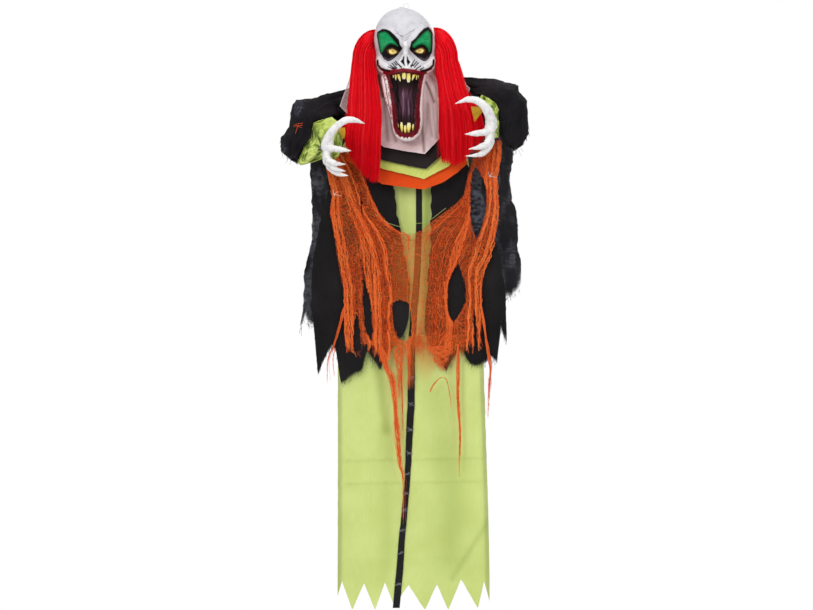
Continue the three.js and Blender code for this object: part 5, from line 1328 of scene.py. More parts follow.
# The thin corners of the white collar that stand out beside the hair: down the grid, left edge, right edge
COLLAR_CORNERS = {
    LEFT: [(68, 351.6, 360), (80, 349, 360), (88, 346.2, 360), (96, 343, 360), (106, 339.7, 360),
           (110, 343.4, 360), (114.4, 348, 360)],
    RIGHT: [(70, 452, 461), (80, 454, 464), (84.5, 455, 466.4), (88, 456, 470), (91, 457, 469.4),
            (96, 458, 466.6)],
}


def build_collar_corners():
    for side, line in COLLAR_CORNERS.items():
        py, px, _, near, far = strip_between(line, 80, 40)
        points = seen(px, py, -0.064 + 0.002 * wander(px / 3, py / 9, 127))
        outside = (px - near) if side == LEFT else (far - px)
        corner = cloth_grid(f"collar_corner_{side}", points, WHITE, "head_and_shoulders",
                            worn=np.where(outside < 0.7, 0.12, 0.62))


def build_collar():
    """The white layer also hangs round the neck: it starts under the nape, behind the jaw."""
    u, t = spaced(-1, 1, 170)[None, :], spaced(0, 1, 80)[:, None]
    share = (u + 1) / 2
    for layer, (node, finish, hem) in enumerate(COLLAR_LAYERS):
        low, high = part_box(node)
        uppermost = node == "collar_white"
        top_z, top_half = (NECK_TOP_Z, NECK_TOP_HALF) if uppermost else (COLLAR_TOP_Z, COLLAR_TOP_HALF)
        foot = seen(*ragged_hem(hem, share[0], 100 + layer, 0.25), low.y + 0.004)[None]
        x = u * top_half + (foot[..., 0] - u * top_half) * (0.35 * t + 0.65 * t**2 if uppermost else t)
        z = top_z + (foot[..., 2] - top_z) * t
        kick = smooth((KICK_Z - z) / max(KICK_Z - low.z, 0.01))
        back = high.y - 0.0022
        fan = np.cos(u * math.pi * 3.1 + layer) * 0.0011 * t + 0.0007 * wander(share * 14, t * 3, 110 + layer)
        worn = None
        if uppermost:
            curl = NECK_FRONT_Y + NECK_CURL * u**4
            back = back + (curl - back) * smooth((z + 0.262) / 0.03)
            z = z + NECK_LIFT * u**4 * (1 - t) ** 8
            lean = share + 0.03 * np.sin(t * 5 + share * 3)
            pleats = 0.0028 * (1 - 2 * np.abs(wander(lean * 15, t * 0.9, 118, 2)))
            fan = fan * (1 - smooth((z + 0.42) / 0.1)) + pleats * smooth((z + 0.46) / 0.1)
            worn = np.clip(smooth((abs(u) - 0.72) / 0.28) * 0.9 * smooth((t - 0.45) / 0.3), 0, 1)
        points = np.stack([x, back + (low.y + 0.003 - back) * kick - np.abs(fan), z], -1)
        cloth = cloth_grid(f"{node}_cloth", points, finish, "head_and_shoulders", worn=worn)
        if uppermost:
            # Painted shade in the neck cloth's folds, with fainter streaks of it
            px, py = view_of(points).reshape(2, -1)
            folds = np.max(soft_marks(np.stack([px, py], -1), NECK_FOLDS), axis=0)
            streaks = 0.22 * smooth(wander(px / 2.2, py / 30, 119) + 0.2)
            carry(cloth, "shaded", np.clip(folds + streaks * (py < 140), 0, 1))
        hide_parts(node)
        wide = float(points[-1, -1, 0] - points[-1, 0, 0])
        tall = float(points[0, 0, 2] - points[..., 2].min())
        float(min(area_of(points), wide * tall))


RIBBON_LINE = [(166, 416, 422), (190, 416, 422), (231, 416, 422), (270, 414, 420.5), (300, 411.7, 418.5),
               (341, 408.3, 415), (387, 408, 415), (418, 407, 414), (440, 406, 412.5), (480, 404.8, 410.3),
               (510, 402, 407.6), (537, 399, 405.2), (570, 396.2, 403), (608, 393, 400)]
RIBBON_TIES = [378, 404, 430, 453, 474, 494, 510, 530, 553, 584]
RIBBON_LIFT = 0.0022


def ribbon_y(px, py):
    places = np.stack(np.broadcast_arrays(np.asarray(px, float), np.asarray(py, float)), -1)
    return ROBE_FRONT_Y + robe_folds(places, ROBE_FRONT_SEED) - RIBBON_LIFT


def build_ribbon():
    py, px, share, *_ = strip_between(RIBBON_LINE, 330, 9)
    px = px + 0.25 * wander(py / 14, 2.0, 120)
    twist = 0.0012 * np.abs(wander(py / 22, share * 1.2, 122))
    piece = cloth_grid("ribbon_cloth", seen(px, py, ribbon_y(px, py) - twist), RIBBON, "gown")
    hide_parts("ribbon")
    paths, draw = [], np.random.default_rng(124)
    t = spaced(0, 1, FRAY_STEPS)
    for level in RIBBON_TIES:
        left, right = read_off(RIBBON_LINE, level)
        over = float(ribbon_y(float(left + right) / 2, level)) - RIBBON_LIFT
        for _ in range(5):
            a, b = draw.uniform(left - 1.4, left + 2, 1), draw.uniform(right - 2, right + 1.4, 1)
            rise = draw.uniform(-2.0, 2.0, 2)
            py = level + rise[0] * (1 - t) + rise[1] * t + 0.6 * np.sin(6 * t + rise[0])
            paths.append(seen(a + (b - a) * t, py, over - 0.0006 * np.sin(3 * t)))
    points, faces = ribbons(np.array(paths), 0.0009, np.array([0.1, 1.0, 0.1]))
    tone = np.repeat(draw.uniform(0, 0.5, len(paths)), 2 * FRAY_STEPS)
    add_piece("ribbon_ties", points, faces, GREY_THREAD, "gown", tone=tone)


build_robe()
build_yokes()
build_jacket()
build_collar()
build_collar_corners()
build_ribbon()


# Hair: straight fibre that rises from the temple over a round lobe and falls down each side, over the collar.
# lobe: the lobe's middle on the grid, then its reach across and up. outer and inner: the edges at each level

HAIR_LINES = {
    LEFT: dict(
        lobe=(375.3, 60, 22.8, 30.5),
        levels=[30, 40, 57, 76, 88, 100, 115, 130, 181],
        outer=[371, 358, 353, 351, 350, 348.8, 348.2, 344, 342],
        inner=[375, 374.5, 375.3, 377, 379, 380.5, 382, 381, 379],
        ends=[(338, 122), (344, 141), (350, 157), (360, 170), (370, 180), (380, 181)]),
    RIGHT: dict(
        lobe=(435.4, 60, 22.4, 32.4),
        levels=[28, 40, 57, 70, 86, 96, 110, 130, 162],
        outer=[438, 451.5, 457, 460.8, 464.4, 468, 479.6, 484, 483],
        inner=[434, 434.2, 434.6, 435, 438, 439, 438.8, 439, 441],
        ends=[(438, 160), (445, 161), (455, 164), (463, 161), (470, 153), (477, 146), (484, 133)]),
}
# Down the grid: the depth of the hair's middle and half its thickness
HAIR_DEPTHS = [(28, -0.020, 0.018), (45, -0.030, 0.040), (60, -0.045, 0.046), (76, -0.075, 0.034),
               (90, -0.096, 0.024), (110, -0.112, 0.016), (140, -0.117, 0.014), (185, -0.117, 0.010)]
ARC_STEPS, FALL_STEPS, STRANDS, LOCKS = 7, 14, 3000, 46


def hair_strands(side, count, seed):
    lines = HAIR_LINES[side]
    draw = np.random.default_rng(seed)
    levels, outer, inner = (np.array(lines[k], float) for k in ("levels", "outer", "inner"))
    lobe_px, lobe_py, reach, rise = lines["lobe"]
    u = draw.beta(1.05, 0.95, count)
    u[: count // 14] = 1 + draw.uniform(-0.06, 0.03, count // 14)
    turn = draw.uniform(-0.1, 0.5, count)[:, None]
    turn = turn + (math.pi / 2 - turn) * spaced(0, 1, ARC_STEPS)[None, :]
    ripple = 1 + 0.02 * np.sin(u * 60)[:, None]
    arc_px = lobe_px + SIGN[side] * reach * u[:, None] * np.sin(turn) * ripple
    arc_py = lobe_py - rise * (0.28 + 0.72 * u[:, None]) * np.cos(turn) * ripple
    spread = draw.uniform(-1, 1, count)
    locks = draw.random(LOCKS)
    lock = locks[np.argmin(np.abs(locks[None, :] - u[:, None]), axis=1)]
    pull = draw.uniform(0.1, 0.75, count)
    foot_px = np.interp(levels[-1], levels, inner) + (outer[-1] - inner[-1]) * u
    end = along_line(lines["ends"], foot_px) - 13 * draw.random(count) ** 2.2 + draw.uniform(-1.5, 3, count)
    end -= 26 * (draw.random(count) < 0.10) * draw.random(count)
    t = spaced(0, 1, FALL_STEPS + 1)[None, 1:]
    py = lobe_py + (end - lobe_py)[:, None] * t
    at = np.interp(py, levels, inner), np.interp(py, levels, outer)
    held = u[:, None] + (lock - u)[:, None] * pull[:, None] * t
    px = at[0] + (at[1] - at[0]) * held
    px += 0.35 * np.sin(py / draw.uniform(7, 26, count)[:, None] + draw.uniform(0, 6, count)[:, None]) * t
    px += draw.normal(0, 0.5, count)[:, None] * t**2
    px += (draw.random(count) < 0.035)[:, None] * draw.normal(0, 3.2, count)[:, None] * t**1.5
    px, py = np.hstack([arc_px, px]), np.hstack([arc_py, py])
    held = np.hstack([np.repeat(u[:, None], ARC_STEPS, 1), held])
    middle, half = read_off(HAIR_DEPTHS, py)
    round_off = np.sqrt(np.clip(1 - (2 * np.clip(held, 0, 1) - 1) ** 2 * 0.75, 0, 1))
    out_of_head = np.hstack([0.35 + 0.65 * smooth(2 * spaced(0, 1, ARC_STEPS)), np.ones(FALL_STEPS)])[None, :]
    return seen(px, py, middle + half * spread[:, None] * round_off * out_of_head), lock, draw


def tubes(paths, radii, sides):
    """Thin round fibres along paths (count, steps, 3); returns points, faces."""
    count, steps = paths.shape[:2]
    tangent = np.gradient(paths, axis=1)
    side = unit_rows(np.cross(tangent, (0.31, 0.9, 0.29)))
    other = unit_rows(np.cross(tangent, side))
    turn = round_turn(sides)
    radii = np.broadcast_to(np.asarray(radii, float), (count, steps))[..., None, None]
    rings = side[:, :, None] * np.cos(turn)[:, None] + other[:, :, None] * np.sin(turn)[:, None]
    points = paths[:, :, None] + rings * radii
    faces = grid_faces(steps, sides, True)
    faces = (np.arange(count)[:, None, None] * steps * sides + faces[None]).reshape(-1, 4)
    return points.reshape(-1, 3), faces


def build_hair():
    for side, seed in ((LEFT, 201), (RIGHT, 203)):
        paths, lock, draw = hair_strands(side, STRANDS, seed)
        steps = paths.shape[1]
        radii = draw.uniform(0.0004, 0.0009, STRANDS)[:, None] * (1 - 0.7 * spaced(0, 1, steps) ** 6)[None, :]
        points, faces = tubes(paths, radii, 3)
        tone = 0.5 + 0.26 * np.sin(lock * 97) + draw.normal(0, 0.14, STRANDS)
        strands = add_piece(f"hair_strands_{side}", points, faces, HAIR, "head_and_shoulders",
                            tone=np.repeat(np.clip(tone, 0, 1), steps * 3))
        lines = HAIR_LINES[side]
        lobe_px, lobe_py, reach, rise = lines["lobe"]
        lowest = min(py for _, py in lines["ends"][1:-1]) + (6 if side == LEFT else -8)
        turn, rows = round_turn(24), []
        for py in spaced(lobe_py - 0.93 * rise, lowest, 26):
            inner, outer = (np.interp(py, lines["levels"], lines[edge]) for edge in ("inner", "outer"))
            if py < lobe_py:
                outer = lobe_px + SIGN[side] * reach * math.sqrt(1 - ((lobe_py - py) / rise) ** 2)
            middle, half = read_off(HAIR_DEPTHS, py)
            px = (inner + outer) / 2 + 0.44 * (outer - inner) * np.cos(turn)
            rows.append(seen(px, py, middle + 0.82 * half * np.sin(turn)))
        shape, more = closed_limb(np.array(rows))
        body = add_mixed(f"hair_body_{side}", shape, more, HAIR, "head_and_shoulders",
                         tone=np.full(len(shape), 0.3))
        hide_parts(f"hair_{side}")


# Arms. The gauze sleeve hangs over the wire arm like a short cape: a front and a back layer that meet in its
# outer fold. Lines give grid places and the depth there, from the shoulder to the hem's lowest corner.

SLEEVES = {
    LEFT: dict(
        fold=[(350, 87.5, -0.005), (338, 91.3, -0.012), (326, 94, -0.022), (320.6, 95.5, -0.03),
              (317.5, 97.8, -0.034), (307, 98.8, -0.045), (296, 99.7, -0.06), (292.5, 104, -0.07),
              (290.4, 111.7, -0.08), (289, 127, -0.1), (285, 132.8, -0.11), (281.3, 137, -0.115),
              (280.4, 151, -0.13), (286, 156.4, -0.14), (296, 163, -0.155)],
        mouth=[(352, 118, -0.03), (346, 116, -0.038), (340, 115.6, -0.05), (332.5, 116.4, -0.12),
               (322, 119.6, -0.19), (313, 122.6, -0.215), (311.8, 130, -0.222), (311, 137.5, -0.224),
               (308, 141.6, -0.222), (305, 144.6, -0.218), (301.4, 154, -0.2), (297.5, 163.4, -0.17)],
        back=[(352, 132, 0.005), (340, 135, -0.01), (330, 140, -0.03), (322, 146, -0.055),
              (315, 152, -0.08), (308, 157, -0.1), (301, 161.6, -0.135), (297, 163.8, -0.162)]),
    RIGHT: dict(
        fold=[(458, 76.2, -0.005), (464.2, 76.5, -0.01), (480, 77.6, -0.022), (494.2, 78.9, -0.036),
              (503.8, 81.2, -0.05), (518.4, 85.3, -0.07), (519.6, 91.7, -0.08), (523.4, 96.3, -0.088),
              (526.7, 101.3, -0.095), (527.8, 114, -0.11), (528.6, 127.4, -0.125), (528.6, 133.8, -0.13),
              (526, 138.9, -0.14), (522.9, 144.6, -0.15), (513.8, 151.4, -0.165)],
        mouth=[(458, 100, -0.03), (466, 96, -0.045), (474, 94.6, -0.075), (482, 95, -0.145),
               (489, 98.4, -0.2), (495, 102.4, -0.228), (498, 110, -0.238), (499, 118, -0.243),
               (499.4, 127, -0.243), (500, 136, -0.235), (503, 142.4, -0.22), (507.6, 147, -0.2),
               (513.4, 151, -0.18)],
        back=[(458, 112, 0.005), (470, 112, -0.012), (480, 115, -0.035), (488, 121, -0.06),
              (494, 129, -0.09), (500, 137, -0.12), (507, 145, -0.15), (513.4, 151.2, -0.172)]),
}
# Painted highlights on thin places of the left sleeve, which look paler: middle on the grid, width, height
# and how pale
SLEEVE_HIGHLIGHTS = [(298.6, 106, 4.4, 5.6, 0.75), (297.6, 113, 3.0, 4.0, 0.35), (284, 150, 3.0, 5.0, 0.5),
                (291, 158, 5.0, 2.6, 0.4)]
# Fibres of the net caught on the left sleeve
CAUGHT_FIBRES = [[(293.6, 126), (297, 124), (303, 123.2)], [(294, 127), (298, 125.6), (302.6, 125.4)],
                 [(298.6, 124.6), (297, 129), (295.4, 133.6)], [(296, 125.4), (299, 126.6), (301.6, 127.6)],
                 [(297.6, 126), (296.6, 130), (296, 132)]]
SLEEVE_FRAYS = 150
# The ruffled cuff's outline on the grid, the wrist it is gathered to and where in the sleeve it comes from
CUFFS = {
    LEFT: dict(wrist=(323, 147), root=(306, 138), outline=[
        (298, 163), (305, 144.6), (310.8, 137.6), (312, 130), (312.9, 122.9), (322, 119.8), (332.5, 116.6),
        (337.5, 121.5), (341, 130), (342.6, 140), (341, 148), (338.6, 156), (333, 159.6), (326, 157.4),
        (320, 159.4), (310, 163), (301, 165.7),
    ]),
    RIGHT: dict(wrist=(491, 124), root=(506, 116), outline=[
        (482, 95), (488.6, 98.2), (494.8, 102), (497.6, 109), (498.8, 117.2), (499.2, 127), (498.6, 137),
        (495, 138.4), (491, 133), (487.4, 127), (485.4, 120), (483.8, 113), (482, 107), (480.4, 103),
        (480.6, 99.5),
    ]),
}
# A corner of each cuff's lime lining that looks out between the claws, painted gold for the red light it
# catches: down the grid, left edge, right edge
CUFF_CORNERS = {
    LEFT: [(127.6, 337.5, 345), (133, 340, 345.4), (138.4, 342.6, 344.4)],
    RIGHT: [(106.6, 471, 480), (112, 472, 482.6), (117, 473.4, 478.4), (121.5, 474.2, 475)],
}


def arm_places(side):
    """The elbow, and the ways the upper arm and the forearm run."""
    shoulder, elbow, wrist = (JOINTS[f"{joint}_{side}"] for joint in ("shoulder", "elbow", "wrist"))
    return elbow, unit_rows(elbow - shoulder), unit_rows(wrist - elbow)


def even_steps(line, count):
    """Points at even distances along a line of places."""
    line = np.asarray(line, float)
    run = np.concatenate([[0], np.cumsum(np.linalg.norm(np.diff(line[:, :2], axis=0), axis=1))])
    at = spaced(0, run[-1], count)
    return np.stack([np.interp(at, run, line[:, k]) for k in range(line.shape[1])], -1)


def build_sleeve(side, seed):
    elbow, upper, fore = arm_places(side)
    rows, wide = 150, 90
    fold, mouth, back = (even_steps(SLEEVES[side][key], rows) for key in ("fold", "mouth", "back"))
    s = spaced(0, 1, wide)[None, :, None]
    swell = np.sqrt(1 - (1 - s) ** 2)
    front = fold[:, None] + (mouth - fold)[:, None] * np.concatenate([s, s, swell], -1)
    behind = fold[:, None] + (back - fold)[:, None] * s
    behind[..., 2] += 0.030 * np.sin(math.pi * s[..., 0]) * spaced(1, 0.2, rows)[:, None]
    grid = np.concatenate([front[:, ::-1], behind[:, 1:]], 1)
    t, q = spaced(0, 1, rows)[:, None], spaced(-1, 1, grid.shape[1])[None, :]
    loose = 1 - 0.75 * np.exp(-((q / 0.09) ** 2))
    a, b = t * 9, q * 6
    crease = 1 - 2 * np.abs(wander(a * 0.7, b * 0.55 + t * 3, seed, 2))
    crumple = 0.0050 * crease + 0.008 * wander(a * 0.35, b * 0.4, seed + 3, 2)
    grid[..., 2] -= crumple * loose
    hem = np.exp(-((1 - q) / 0.04) ** 2) + np.exp(-((1 + q) / 0.04) ** 2)
    for axis in (0, 1):
        grid[..., axis] += 0.5 * wander(a * 2.5, b, seed + 7 + 2 * axis, 2)
        grid[..., axis] += hem * wander(a * 5, 3 * axis, seed + 11 + 2 * axis)
    points = seen(*np.moveaxis(grid, -1, 0))
    thin = 0.5 + 0.5 * wander(a * 1.4, b * 1.1, seed + 15)
    worn = np.clip(0.75 * hem + 0.5 * smooth((t - 0.9) / 0.1) + 0.3 * smooth((thin - 0.55) / 0.3), 0, 1)
    sleeve = cloth_grid(f"sleeve_{side}", points, SLEEVE, None, worn=worn)
    px, py = view_of(points)
    # Painted highlights on the left sleeve's thin patches, broken into speckle
    patches = sum(amount * np.exp(-(((px - cx) / broad) ** 2) - ((py - cy) / tall) ** 2)
                  for cx, cy, broad, tall, amount in SLEEVE_HIGHLIGHTS)
    speckle = smooth(0.6 + wander(px * 0.9, py * 0.9, seed + 17))
    carry(sleeve, "shaded", np.clip(patches * speckle * (q < 0), 0, 1).reshape(-1))
    bend = dict(start=tuple(elbow - upper * 0.05), end=tuple(elbow + fore * 0.06))
    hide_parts(f"upper_sleeve_{side}", f"fore_sleeve_{side}")
    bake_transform(sleeve)
    girth, length = mean_size(points)
    float(min(area_of(points), length * girth))
    draw, count = np.random.default_rng(seed + 20), SLEEVE_FRAYS
    row = rows // 2 + (draw.random(count) ** 0.6 * (rows // 2 - 1)).astype(int)
    start = points[row, draw.choice([0, 1, -1, wide - 1], count)]
    run = draw.uniform(0.002, 0.011, count) * np.where(draw.random(count) < 0.08, 2.6, 1)
    s = spaced(0, 1, FRAY_STEPS)[None, :, None]
    drift = draw.normal(0, 0.35, (count, 3)) + np.array([0, 0, -0.8])
    paths = start[:, None] + (s * drift[:, None] + s**2 * np.array([0, 0, -0.3])) * run[:, None, None]
    fray_points, faces = ribbons(paths, THREAD_WIDE, np.array([0.2, 1.0, 0.1]))
    fray = add_piece(f"sleeve_fray_{side}", fray_points, faces, BLACK_THREAD, None,
                     tone=np.repeat(draw.random(count), 2 * FRAY_STEPS))
    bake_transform(fray)
    if side == LEFT:
        paths = []
        for mark in CAUGHT_FIBRES:
            beside = spline(np.array(mark), spaced(0, 2, 12))
            gap = ((px[None, :, :wide] - beside[:, 0, None, None]) ** 2
                   + (py[None, :, :wide] - beside[:, 1, None, None]) ** 2)
            touched = points[:, :wide].reshape(-1, 3)[gap.reshape(len(beside), -1).argmin(1)]
            paths.append(seen(*beside.T, touched[:, 1] - 0.0012))
        mark_points, faces = tubes(np.stack(paths), THREAD_WIDE, 4)
        caught = add_piece("caught_fibres", mark_points, faces, NET, None,
                           tone=np.full(len(mark_points), 0.5))
        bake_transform(caught)


def build_cuff(side, seed):
    """A loose lime ruffle: gathered to the wrist, swelling to its outline and going back into the sleeve."""
    wrist = JOINTS[f"wrist_{side}"]
    form = CUFFS[side]
    rows, columns = 90, 260
    edge = even_steps(form["outline"] + form["outline"][:1], columns + 1)[:-1]
    turn, t = round_turn(columns)[None, :], spaced(0, 1, rows)[:, None]
    middle, root = np.array(form["wrist"], float), np.array(form["root"], float)
    out = smooth(np.clip(t / 0.62, 0, 1)) ** 0.8
    inward = smooth((t - 0.66) / 0.34)[..., None]
    places = middle + (edge - middle)[None] * (0.2 + 0.8 * out)[..., None]
    places = places + (root + (edge - root) * 0.55 - edge)[None] * inward
    depth = wrist[1] - 0.002 + 0.020 * out**2 + 0.070 * inward[..., 0]
    bumps = looped(turn, t * 5.0, seed, 9)
    facets = 1 - 2 * np.abs(bumps)
    long_folds = np.cos(7 * turn + 2.2 * looped(turn, t * 1.5, seed + 2, 5))
    fine = looped(turn, t * 16, seed + 3, 22)
    relief = 0.011 * facets + 0.005 * long_folds + 0.0012 * fine
    depth = depth + relief * np.sin(math.pi * np.clip(t, 0, 0.97)) ** 0.5
    aside = np.stack([looped(turn, t * 3, seed + more, 16) for more in (5, 7)], -1)
    places = places + 0.7 * aside * smooth(t * 3)[..., None]
    points = seen(places[..., 0], places[..., 1], depth)
    worn = 0.3 * np.exp(-(((t - 0.64) / 0.03) ** 2)) + 0 * turn
    cuff = cloth_grid(f"cuff_cloth_{side}", points, LIME_RUFFLE, f"forearm_{side}", worn=worn, closed=True)
    # Painted shade: darker in the ruffle's sunk folds and sharp creases, and towards the wrist
    sunk = smooth((0.2 + 0.6 * facets + 0.6 * long_folds - 0.15 * fine) / 1.3)
    sharp = np.exp(-((bumps / 0.11) ** 2))
    shadow = np.clip(0.55 * sunk + 0.4 * sharp + 0.2 * smooth((0.3 - t) / 0.3), 0, 1)
    carry(cuff, "shaded", shadow.reshape(-1))
    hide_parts(f"cuff_{side}")
    girth, length = mean_size(points)
    float(min(area_of(points), girth * length))
    build_cuff_corner(side, seed + 8)


def build_cuff_corner(side, seed):
    py, px, *_ = strip_between(CUFF_CORNERS[side], 30, 24)
    depth = JOINTS[f"wrist_{side}"][1] + 0.010 + 0.004 * wander(px / 3, py / 4, seed)
    return cloth_grid(f"cuff_corner_{side}", seen(px, py, depth), RED_LIT_LINING, f"forearm_{side}")


def looped(turn, along, seed, bumps):
    """Smooth noise round a closed ring."""
    share = turn / FULL_TURN
    return wander(share * bumps, along, seed) * (1 - share) + wander((share - 1) * bumps, along, seed) * share


# Each claw: places on the front view's grid, how far in front of the wrist, and the radius in grid steps
CLAWS = {
    LEFT: dict(
        palm=[(326, 149.5, 0.004, 3.6), (327.6, 148, 0.016, 5.4), (327.8, 142.6, 0.024, 5.2),
              (330.6, 135, 0.032, 3.6)],
        fingers=[
            [(325.8, 150, 0.028, 3.9), (326.2, 141, 0.034, 3.8), (334.6, 128.5, 0.052, 3.2),
             (345, 120.6, 0.060, 3.0), (354.3, 120.2, 0.058, 2.6), (365.2, 123.8, 0.050, 0.4)],
            [(325.5, 148, 0.026, 3.4), (331, 148.2, 0.046, 3.0), (341, 149.6, 0.062, 2.6),
             (351.3, 150.8, 0.056, 0.4)],
            [(326.6, 151, 0.026, 3.6), (327.4, 158.6, 0.044, 3.0), (335, 163.4, 0.056, 2.6),
             (346.2, 164.3, 0.052, 0.4)],
            [(326, 153, 0.022, 3.6), (327, 162.6, 0.034, 2.9), (335, 168.6, 0.044, 2.5),
             (345.6, 171.2, 0.042, 0.4)],
            [(325.4, 154, 0.018, 3.6), (330, 167.6, 0.020, 2.8), (338.6, 173.6, 0.026, 2.4),
             (348.4, 175.7, 0.028, 0.4)],
        ]),
    RIGHT: dict(
        palm=[(491.5, 128, 0.004, 3.6), (491, 127, 0.016, 5.2), (491, 120, 0.024, 4.9),
              (488.6, 112, 0.036, 3.6)],
        fingers=[
            [(490.4, 132, 0.028, 4.2), (490.6, 119, 0.034, 4.3), (485.6, 107.6, 0.052, 3.8),
             (477.8, 101.2, 0.060, 3.2), (468, 99.5, 0.058, 2.7), (454.8, 103.8, 0.050, 0.4)],
            [(490.6, 130, 0.026, 3.4), (484, 132.2, 0.048, 3.0), (475, 133.6, 0.062, 2.5),
             (464.6, 134.2, 0.056, 0.4)],
            [(489.5, 133, 0.026, 3.5), (487.6, 142.6, 0.044, 3.0), (480.4, 146.9, 0.054, 2.6),
             (468.2, 149.2, 0.050, 0.4)],
            [(490, 134, 0.022, 3.6), (489.2, 145.6, 0.030, 3.0), (481, 154.0, 0.038, 2.6),
             (465.4, 156.2, 0.036, 0.4)],
            [(491, 133, 0.020, 3.4), (490.8, 142.6, 0.018, 2.9), (488.6, 148.2, 0.014, 2.4),
             (486, 152.6, 0.014, 0.8)],
        ]),
}
FULLER, SKIN_GRAIN, PIT_DEPTH = 1.13, 0.0013, 0.0006


def build_hand(side):
    form, limbs = CLAWS[side], []
    for line, sides in [(form["palm"], 16)] + [(finger, 14) for finger in form["fingers"]]:
        px, py, forward, radius = np.array(line).T
        radii = np.where(radius > 1, radius * FULLER, radius) * CELL
        steps = 10 * len(line)
        rings = limb_rings(seen(px, py, JOINTS[f"wrist_{side}"][1] - forward), radii, radii, steps, sides)
        if len(line) > 3:
            share = spaced(0, 1, steps)[:, None]
            knuckle = (1 + 0.10 * np.exp(-(((share - 0.33) / 0.06) ** 2))
                       + 0.07 * np.exp(-(((share - 0.62) / 0.05) ** 2)))
            centre = rings.mean(1, keepdims=True)
            rings = centre + (rings - centre) * knuckle[..., None]
        limbs.append(closed_limb(rings))
    points, faces = stacked(limbs)
    hand = add_mixed(f"hand_claws_{side}", points, faces, CLAW, f"hand_body_{side}")
    voxels = hand.modifiers.new("one_skin", "REMESH")
    voxels.mode, voxels.voxel_size = "VOXEL", SKIN_GRAIN
    soften = hand.modifiers.new("soften", "SMOOTH")
    soften.factor, soften.iterations = 0.5, 7
    apply_modifiers(hand)
    points, normals = (np.empty((len(hand.data.vertices), 3)) for _ in range(2))
    hand.data.vertices.foreach_get("co", points.ravel())
    hand.data.vertices.foreach_get("normal", normals.ravel())
    pits = wander(points[:, 0] * 140, points[:, 2] * 140 + points[:, 1] * 90, 231)
    hand.data.vertices.foreach_set("co", (points + normals * PIT_DEPTH * pits[:, None]).ravel())
    # Painted shade: how deep each pit is sunk, for the finish to darken it
    carry(hand, "hollow", np.clip(-pits, 0, 1) * 0.4)
    hand.data.polygons.foreach_set("use_smooth", np.ones(len(hand.data.polygons), bool))
    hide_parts(f"hand_{side}")


build_hair()
for side, seed in ((LEFT, 211), (RIGHT, 221)):
    build_sleeve(side, seed)
    build_cuff(side, seed + 5)
    build_hand(side)


# Net: torn open gauze over the chest. Its threads run down from the shoulders, are drawn aside into dense
# bunches by the neckline and the torn holes, and end in a fringe with a few long tails.

NET_Y = -0.0478
NET_TOP = 140
NET_LEFT = [(140, 318), (152, 321.5), (166, 325.5), (183, 329.6), (196, 332), (211, 330), (238, 334),
            (270, 339), (287, 343), (319, 344), (335, 345), (350, 347)]
NET_RIGHT = [(140, 500.6), (152, 500.6), (160, 500), (172, 498), (177, 496.6), (190, 496.6), (217, 498),
             (238, 495), (256, 491), (270, 484), (288, 482), (319, 482), (350, 480)]
NET_NECK = [(140, 338, 475), (152, 346, 474.4), (158, 352, 473), (168, 361, 470), (194, 370.5, 465.5),
            (202, 374, 458), (211, 378, 446), (222, 387, 431.5), (230, 396, 422), (233, 406, 415),
            (236, 411, 411)]
# Each torn hole: how far down, its middle and half its width
NET_HOLES = [
    [(166, 475, 0), (173, 476, 4.6), (185, 478, 8.2), (200, 478.4, 8.6), (215, 477.4, 8.0),
     (225, 476.8, 6.0), (233, 477, 3.4), (239, 477, 0)],
    [(262, 458.6, 0), (272, 457, 5), (285, 456.5, 9), (300, 456.5, 9.8), (312, 454.5, 7), (318, 453.5, 4),
     (323, 453, 0)],
    [(300, 400, 0), (303, 400, 8.4), (316, 401.5, 9.8), (330, 403, 8.6), (338, 404.5, 6.6), (342, 405, 0)],
    [(264, 363, 0), (270, 363, 0.8), (290, 365.5, 2.6), (304, 367, 4.2), (318, 368, 4.7), (332, 369.4, 4),
     (343, 371.5, 0)],
    [(190, 360.6, 0), (197, 361, 1.1), (212, 361.8, 1.1), (222, 362.4, 0)],
    [(306, 474, 0), (318, 474.6, 1.9), (340, 475.6, 2.4), (352, 476, 2.4)],
    [(308, 357, 0), (322, 356.6, 2.6), (340, 356.8, 4), (352, 357, 4.4)],
]
NET_HEM = [(343, 343), (352, 349), (360, 347), (364, 344), (373, 346), (380, 355), (388, 360), (392, 350),
           (400, 354), (412, 352), (424, 350), (436, 355), (446, 350), (458, 352), (468, 346), (476, 342),
           (482, 345)]
NECK_BLUR = (-1, -0.6, -0.2, 0.2, 0.6, 1)
# Shares across the net where its threads are drawn together
NET_BUNCHES = [0.0, 0.02, 0.06, 0.19, 0.23, 0.26, 0.34, 0.47, 0.7, 0.75, 0.78, 0.9, 0.96, 1.0]
# Thin places, where the cloth behind shows through: middle, reach and how many threads are missing
NET_THIN = [((349, 219), (9, 34), 0.5), ((414, 285), (17, 58), 0.93), ((372, 262), (6, 20), 0.2)]
